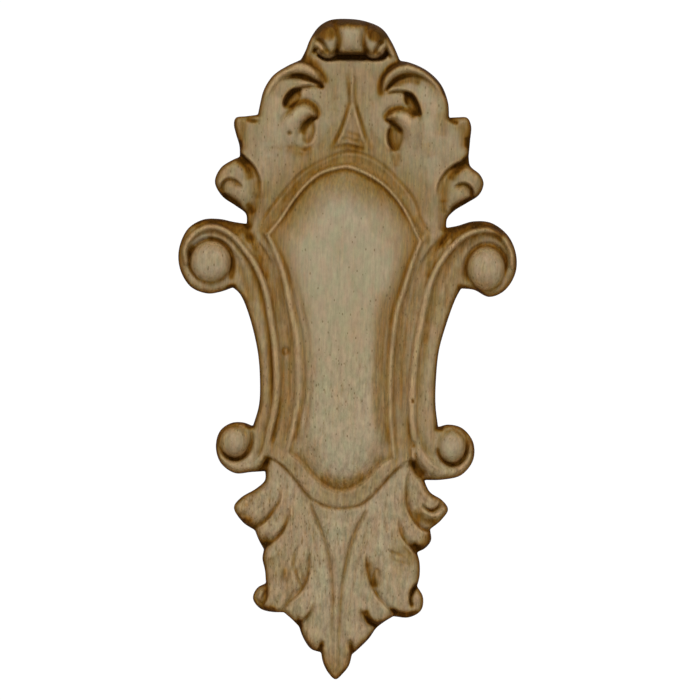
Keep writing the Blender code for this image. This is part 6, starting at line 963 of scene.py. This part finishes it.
def glaze_shade_and_wear_maps(R):
    """Where brown glaze and painted shade lie, and where edges are worn bright and painted highlights sit, each from 0
    to 1: from depth and slope, and from strokes at chosen places.
    """
    s, H, X, Y = R.step, R.H, R.X, R.Y
    inside = R.S > 0
    gy, gx = np.gradient(H, s)
    slope = np.hypot(gx, gy)
    # outside the piece the map carries on at the height of its edge, so that an edge isn't read as a ridge
    fine, mid, wide = (blur(H, k / s) - H for k in (1.2, 3.2, 8.0))
    glaze_and_shade = 0.22 * np.clip(fine, 0, None) + 0.052 * np.clip(mid, 0, None) + 0.022 * np.clip(wide, 0, None)
    # steep slopes darker: painted shade, with some glaze
    glaze_and_shade += 0.10 * np.clip(slope - 0.35, 0, 2.2)
    laid_tone_and_shade = tones_and_shade(R)
    glaze_and_shade += laid_tone_and_shade
    wear_and_highlight = 0.85 * np.clip(-fine * 1.7 - 0.12, 0, 1) + np.clip(-mid * 0.08 - 0.08, 0, 0.2)
    # strokes worn bright: shoulders that hands and cloths reach most, beads and stem ridges; on the ball centres, the
    # curled tips and the lip ridges they are painted highlights
    for line, amount, half in (([(264, 112), (268, 94), (277, 81), (290, 71)], 0.25, 8), ([(270, 132), (274, 112), (280, 98)], 0.30, 9), ([(428, 100), (434, 120), (432, 140)], 0.22, 12),
                               ([(302, 108), (299, 120)], 0.90, 9), ([(403, 114), (406, 126)], 0.50, 8), ([(211, 258), (211, 266)], 0.25, 16), ([(486, 264), (486, 274)], 0.25, 15),
                               ([(343, 300), (343, 400), (341, 450)], 0.10, 30), (STEM_L[6:14], 0.26, 3.5), (STEM_R[6:14], 0.26, 3.5), ([(431, 277), (423, 301), (417.5, 324), (414, 350), (411.5, 376), (409.8, 400), (410.5, 424)], 0.45, 4), ([(284, 282), (291, 312), (294, 340), (293.5, 372), (292, 402)], 0.30, 3.2), (BEAD_R, 0.24, 3.2), (BEAD_L, 0.46, 4.5), (ARCH_BEAD, 0.24, 3.0), (SILL_IN, 0.30, 2.8),
                               ([(286, 118), (292, 126), (296, 134)], 0.30, 12), ([(404, 116), (409, 128), (411, 140)], 0.24, 10), ([(271, 588), (277, 597), (284, 604)], 0.40, 9), ([(396, 590), (400, 600), (406, 606)], 0.24, 9),
                               ([(293, 66), (301, 68.8), (310, 71.6), (318, 78)], 1.0, 3.8), ([(394, 75), (401, 70.5), (410, 69), (420, 72)], 0.20, 4), ([(250, 500), (240, 508)], 0.20, 9), ([(310, 620), (320, 640)], 0.15, 9), ([(292, 575), (294, 588), (296, 600)], 0.22, 10), ([(262, 568), (272, 578), (278, 590)], 0.22, 10)):
        D, T, _ = R.distance(spline(line), 1.01 * half)
        wear_and_highlight = wear_and_highlight + amount * (1 - np.clip(D / half, 0, 1) ** 2) ** 2 * taper(T, (0.1, 0.1))
    wear_and_highlight = wear_and_highlight * smooth((R.S - 1.5) / 4) * (1 - 0.9 * smooth((laid_tone_and_shade - 0.32) / 0.3))
    # how open the grain is: closed on the domed field, open on the leaf; and how grey the wood stayed
    field = smooth(R.field / 3)
    coarse = np.clip(0.45 + 0.55 * smooth((Y - 440) / 60) - field * (0.28 - 0.42 * smooth((Y - 320) / 90)) - (1 - field) * 0.2 * smooth((240 - Y) / 20), 0, 1)
    grey = smooth((226 - Y) / 20) * 0.8
    return np.clip(blur(glaze_and_shade, 0.6 / s), 0, 1), np.clip(blur(wear_and_highlight, 0.6 / s), 0, 1), coarse, grey


def build_piece():
    R = carve(SAMPLE)
    R.S = blur(R.S, 0.7 / R.step)   # slits narrower than the net close
    P, F = front_net(R, NODE_EVERY)
    h = sample(R.H, R, P[:, 0], P[:, 1])
    rim = rim_edges(F)
    on_rim = np.unique(rim)
    h[on_rim] = WALL
    g0, w0, c0, e0 = (sample(A, R, P[:, 0], P[:, 1]) for A in glaze_shade_and_wear_maps(R))
    n, m = len(P), len(on_rim)
    slot = -np.ones(n, int)
    slot[on_rim] = np.arange(m)
    a, b = rim[:, 0], rim[:, 1]
    layers, faces = [upright(P, h)], [F]
    kind, gl, wo, co, gr = [np.zeros(n)], [g0], [w0], [c0], [e0]
    upper = on_rim
    count = n
    for height in WALL_RINGS:
        layers.append(upright(P[on_rim], np.full(m, height)))
        lower = count + np.arange(m)
        ua, ub, la, lb = upper[slot[a]], upper[slot[b]], lower[slot[a]], lower[slot[b]]
        faces += [np.stack([ub, ua, la], 1), np.stack([ub, la, lb], 1)]
        kind.append(np.full(m, 0.5))
        gl.append(np.full(m, 0.44 if height > 1 else 0.34))
        wo.append(np.zeros(m))
        co.append(c0[on_rim])
        gr.append(e0[on_rim])
        upper = lower
        count += m
    # flat back: the last ring and a coarse net of points inside it
    last = P[on_rim]
    xs, ys = np.meshgrid(np.arange(X_LO, X_HI, 11.0), np.arange(Y_LO, Y_HI, 11.0))
    xs = xs + 5.5 * (np.arange(xs.shape[0])[:, None] % 2)
    keep = sample(R.S, R, xs.ravel(), ys.ravel()) > 6
    inner = np.stack([xs.ravel()[keep], ys.ravel()[keep]], 1)
    flat = np.vstack([last, inner])
    after = dict(zip(slot[a].tolist(), slot[b].tolist()))
    loop = [0]
    while after[loop[-1]] != 0:
        loop.append(after[loop[-1]])
    if len(loop) != m:
        raise ValueError("the outline isn't one loop")
    got = delaunay_2d_cdt([Vector((p[0], -p[1])) for p in flat.tolist()], [], [loop], 0, 1e-5, True)
    source = [ids[0] for ids in got[3]]
    tri = np.array([[source[i] for i in t] for t, inside in zip(got[2], got[5]) if inside])
    pa, pb, pc = flat[tri[:, 0]], flat[tri[:, 1]], flat[tri[:, 2]]
    area = (pb[:, 0] - pa[:, 0]) * -(pc[:, 1] - pa[:, 1]) + (pb[:, 1] - pa[:, 1]) * (pc[:, 0] - pa[:, 0])
    tri[area > 0] = tri[area > 0][:, ::-1]
    layers.append(upright(inner, np.zeros(len(inner))))
    number = np.concatenate([upper, count + np.arange(len(inner))])
    faces.append(number[tri])
    kind.append(np.ones(len(inner)))
    gl.append(np.full(len(inner), 0.2))
    wo.append(np.zeros(len(inner)))
    co.append(np.full(len(inner), 0.8))
    gr.append(np.full(len(inner), 0.5))
    V, T = np.concatenate(layers), np.concatenate(faces)
    mesh = bpy.data.meshes.new("plaque_carved")
    mesh.vertices.add(len(V))
    mesh.vertices.foreach_set("co", V.astype(np.float32).ravel())
    mesh.loops.add(3 * len(T))
    mesh.loops.foreach_set("vertex_index", T.astype(np.int32).ravel())
    mesh.polygons.add(len(T))
    mesh.polygons.foreach_set("loop_start", np.arange(0, 3 * len(T), 3, dtype=np.int32))
    mesh.polygons.foreach_set("use_smooth", np.ones(len(T), bool))
    mesh.update(calc_edges=True)
    if mesh.validate(verbose=True):
        raise ValueError("the carved mesh had faults")
    for name, values in (("glaze_and_shade", gl), ("wear_and_highlight", wo), ("kind", kind), ("coarse", co), ("grey", gr)):
        layer = mesh.attributes.new(name, "FLOAT", "POINT")
        layer.data.foreach_set("value", np.concatenate(values).astype(np.float32))
    # the edge round the back is crisp
    mesh.set_sharp_from_angle(angle=math.radians(62))
    print("triangles", len(T), "vertices", len(V))
    return mesh


# ---------------------------------------------------------------- material
def glazed_wood():
    mat = bpy.data.materials.new("glazed_wood_fine")
    mat.use_nodes = True
    nt = mat.node_tree
    N, L = nt.nodes, nt.links
    bsdf = N["Principled BSDF"]
    bsdf.inputs["Metallic"].default_value = 0.0
    bsdf.inputs["IOR"].default_value = 1.45
    bsdf.inputs["Specular IOR Level"].default_value = 0.004

    def node(kind, **values):
        made = N.new(kind)
        for key, value in values.items():
            if key in made.inputs:
                made.inputs[key].default_value = value
            else:
                setattr(made, key, value)
        return made

    def math_(op, a, b=None, clamp=False):
        made = N.new("ShaderNodeMath")
        made.operation = op
        made.use_clamp = clamp
        for socket, value in zip(made.inputs, (a, b)):
            if value is None:
                continue
            if isinstance(value, (int, float)):
                socket.default_value = value
            else:
                L.new(value, socket)
        return made.outputs[0]

    def span(value, lo, hi, to_lo=0.0, to_hi=1.0):
        made = node("ShaderNodeMapRange")
        made.clamp = True
        L.new(value, made.inputs["Value"])
        for key, v in (("From Min", lo), ("From Max", hi), ("To Min", to_lo), ("To Max", to_hi)):
            made.inputs[key].default_value = v
        return made.outputs["Result"]

    def attribute(name):
        made = N.new("ShaderNodeAttribute")
        made.attribute_type = "GEOMETRY"
        made.attribute_name = name
        return made.outputs["Fac"]

    where = N.new("ShaderNodeTexCoord").outputs["Object"]

    def placed(scale, turn=0.0):
        made = N.new("ShaderNodeMapping")
        made.inputs["Scale"].default_value = scale
        made.inputs["Rotation"].default_value = (0.0, turn, 0.0)
        L.new(where, made.inputs["Vector"])
        return made.outputs["Vector"]

    def noise(vector, scale, detail, rough=0.5, distortion=0.0):
        made = node("ShaderNodeTexNoise")
        L.new(vector, made.inputs["Vector"])
        made.inputs["Scale"].default_value = scale
        made.inputs["Detail"].default_value = detail
        made.inputs["Roughness"].default_value = rough
        made.inputs["Distortion"].default_value = distortion
        return made.outputs["Fac"]

    def mix(factor, a, b, blend="MIX"):
        made = N.new("ShaderNodeMix")
        made.data_type = "RGBA"
        made.blend_type = blend
        sockets = [s for s in made.inputs if s.enabled]
        for socket, value in zip(sockets, (factor, a, b)):
            if isinstance(value, (tuple, float, int)):
                socket.default_value = value
            else:
                L.new(value, socket)
        return [o for o in made.outputs if o.enabled][0]

    glaze_and_shade, wear_and_highlight, kind, coarse, grey = (attribute(name) for name in ("glaze_and_shade", "wear_and_highlight", "kind", "coarse", "grey"))
    streak = noise(placed((1.0, 1.0, 0.09)), 1500.0, 3.0, 0.6)       # fine grain along the height
    band = noise(placed((1.0, 1.0, 0.055)), 520.0, 3.0, 0.6, 0.3)     # broader grain bands
    mottle = noise(placed((1.0, 1.0, 0.6)), 90.0, 4.0, 0.6)           # uneven wiping
    cloud = noise(placed((1.0, 1.0, 1.0)), 22.0, 2.0)
    patch = noise(placed((1.0, 1.0, 0.5)), 330.0, 3.0, 0.6)          # small greener and redder patches
    fleck = noise(placed((1.0, 1.0, 0.22)), 1150.0, 2.0, 0.5)         # short darker flecks
    blotch = noise(placed((1.0, 1.0, 0.5)), 560.0, 4.0, 0.68)         # uneven colour, a millimetre or two across

    # glaze amount, with painted shade in it, and uneven wiping
    g = math_("ADD", glaze_and_shade, math_("MULTIPLY", math_("SUBTRACT", mottle, 0.5), 0.34))
    g = math_("ADD", g, math_("MULTIPLY", math_("SUBTRACT", streak, 0.5), 0.22))
    g = math_("ADD", g, math_("MULTIPLY", math_("SUBTRACT", band, 0.5), math_("MULTIPLY", math_("ADD", 0.18, math_("MULTIPLY", glaze_and_shade, 0.9), clamp=True), span(coarse, 0.20, 0.45, 0.50, 1.0))), clamp=True)
    ramp = N.new("ShaderNodeValToRGB")
    L.new(g, ramp.inputs["Fac"])
    stops = ((0.0, (0.322, 0.270, 0.176)), (0.12, (0.302, 0.229, 0.138)), (0.25, (0.254, 0.179, 0.091)), (0.40, (0.224, 0.137, 0.049)),
             (0.60, (0.170, 0.080, 0.012)), (0.80, (0.108, 0.042, 0.004)), (1.0, (0.050, 0.019, 0.002)))
    cr = ramp.color_ramp
    while len(cr.elements) < len(stops):
        cr.elements.new(0.5)
    for element, (pos, rgb) in zip(cr.elements, stops):
        element.position = pos
        element.color = (*rgb, 1.0)
    tint = mix(span(cloud, 0.35, 0.65, 0.0, 0.45), ramp.outputs["Color"], (0.95, 0.89, 0.80, 1.0), "MULTIPLY")
    tint = mix(grey, tint, (0.925, 0.965, 0.985, 1.0), "MULTIPLY")
    # worn edges and painted highlights in a pale tan
    lit = mix(math_("MULTIPLY", wear_and_highlight, span(mottle, 0.3, 0.7, 0.35, 0.9), clamp=True), tint, (0.40, 0.275, 0.145, 1.0))
    grain = mix(math_("ADD", 0.26, math_("MULTIPLY", g, 1.1), clamp=True), lit, span(streak, 0.34, 0.66, 0.66, 1.30), "MULTIPLY")
    grain = mix(math_("ADD", 0.24, math_("MULTIPLY", coarse, 0.86), clamp=True), grain, span(blotch, 0.32, 0.68, 0.72, 1.26), "MULTIPLY")
    hue = mix(span(patch, 0.36, 0.64), (0.955, 1.02, 0.955, 1.0), (1.06, 0.985, 0.98, 1.0))
    grain = mix(1.0, grain, hue, "MULTIPLY")
    grain = mix(math_("MULTIPLY", span(fleck, 0.56, 0.72), math_("MULTIPLY", coarse, span(cloud, 0.40, 0.60, 0.6, 1.1), clamp=True)), grain, (0.70, 0.62, 0.47, 1.0), "MULTIPLY")

    # open pores: short dark dashes along the grain, in some cells only
    pores = N.new("ShaderNodeTexVoronoi")
    pores.feature = "F1"
    pores.inputs["Scale"].default_value = 1.0
    pores.inputs["Randomness"].default_value = 1.0
    L.new(placed((960.0, 960.0, 440.0)), pores.inputs["Vector"])
    seed = N.new("ShaderNodeSeparateColor")
    L.new(pores.outputs["Color"], seed.inputs["Color"])
    chosen = math_("LESS_THAN", seed.outputs[0], math_("MULTIPLY", span(cloud, 0.40, 0.60, 0.18, 0.52), span(coarse, 0.15, 1.0, 0.36, 1.3)))
    size = span(seed.outputs[1], 0.0, 1.0, 0.14, 0.34)
    mark = math_("LESS_THAN", pores.outputs["Distance"], size)
    fade = span(pores.outputs["Distance"], 0.06, 0.34, 1.0, 0.1)
    pore = math_("MULTIPLY", math_("MULTIPLY", mark, chosen), fade)
    dark = mix(math_("MULTIPLY", pore, 0.72), grain, (0.095, 0.058, 0.018, 1.0))
    L.new(dark, bsdf.inputs["Base Color"])

    rough = math_("ADD", span(g, 0.0, 0.8, 0.66, 0.50), math_("MULTIPLY", math_("SUBTRACT", streak, 0.5), 0.12), clamp=True)
    L.new(rough, bsdf.inputs["Roughness"])

    # surface: grain lines, pores and light tool marks
    height = math_("ADD", math_("MULTIPLY", streak, 0.35), math_("MULTIPLY", band, 0.5))
    height = math_("ADD", height, math_("MULTIPLY", mottle, 0.35))
    height = math_("SUBTRACT", height, math_("MULTIPLY", pore, 0.8))
    bump = N.new("ShaderNodeBump")
    bump.inputs["Strength"].default_value = 0.35
    bump.inputs["Distance"].default_value = 0.0004
    L.new(height, bump.inputs["Height"])
    L.new(bump.outputs["Normal"], bsdf.inputs["Normal"])
    return mat


piece = bpy.data.objects.new("plaque_carved", build_piece())
bpy.context.scene.collection.objects.link(piece)
piece.data.materials.append(glazed_wood())
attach(piece, "root")
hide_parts("shield_plaque")

# ---------------------------------------------------------------- stage, light and camera
floor_mesh = bpy.data.meshes.new("floor")
side, low = 0.45, -0.30
floor_mesh.from_pydata([(-side, -side, low), (side, -side, low), (side, side, low), (-side, side, low)], [], [(0, 1, 2, 3)])
floor = bpy.data.objects.new("floor", floor_mesh)
bpy.context.scene.collection.objects.link(floor)
pale = bpy.data.materials.new("floor_pale")
pale.use_nodes = True
pale.node_tree.nodes["Principled BSDF"].inputs["Base Color"].default_value = (0.82, 0.81, 0.79, 1.0)
pale.node_tree.nodes["Principled BSDF"].inputs["Roughness"].default_value = 0.9
floor_mesh.materials.append(pale)

world = bpy.data.worlds.new("studio")
world.use_nodes = True
bpy.context.scene.world = world
sky = world.node_tree.nodes["Background"]
WN, WL = world.node_tree.nodes, world.node_tree.links
aim = WN.new("ShaderNodeTexCoord")
split = WN.new("ShaderNodeSeparateXYZ")
WL.new(aim.outputs["Generated"], split.inputs[0])
turn = WN.new("ShaderNodeMapRange")
turn.inputs["From Min"].default_value = 0.78
turn.inputs["From Max"].default_value = 0.97
turn.inputs["To Min"].default_value = 0.53
turn.inputs["To Max"].default_value = 1.05
WL.new(split.outputs["Y"], turn.inputs["Value"])
sky.inputs["Color"].default_value = (1.0, 1.0, 1.0, 1.0)
WL.new(turn.outputs["Result"], sky.inputs["Strength"])


def lamp(name, place, aim_at, size, power, colour=(1.0, 1.0, 1.0)):
    data = bpy.data.lights.new(name, "AREA")
    data.shape = "DISK"
    data.size = size
    data.energy = power
    data.color = colour
    made = bpy.data.objects.new(name, data)
    made.location = place
    made.rotation_euler = (Vector(aim_at) - Vector(place)).to_track_quat("-Z", "Y").to_euler()
    bpy.context.scene.collection.objects.link(made)


lamp("key", (-0.25, -1.05, 1.05), (0, 0, 0), 0.55, 12.6)
lamp("fill", (0.7, -1.3, 0.3), (0, 0, 0), 0.8, 4.0)
lamp("back_soft", (0.4, 1.4, 0.9), (0, 0, 0), 0.9, 2.0)

camera_data = bpy.data.cameras.new("camera")
camera_data.type = "PERSP"
camera_data.sensor_width = 36.0
camera_data.lens = 36.0 * CAMERA_AWAY / (PICTURE * UNIT)
camera_data.clip_end = 50.0
camera = bpy.data.objects.new("camera", camera_data)
bpy.context.scene.collection.objects.link(camera)
spot = upright(np.array([[PICTURE / 2, PICTURE / 2]]), [0.0])[0]
right = Vector((math.cos(LEAN), 0.0, math.sin(LEAN)))
up = Vector((-math.sin(LEAN), 0.0, math.cos(LEAN)))
back = Vector((0.0, -1.0, 0.0))
camera.matrix_world = Matrix.Translation(Vector(spot) + back * CAMERA_AWAY) @ Matrix((right, up, back)).transposed().to_4x4()
bpy.context.scene.camera = camera
bpy.context.scene.view_settings.view_transform = "Standard"
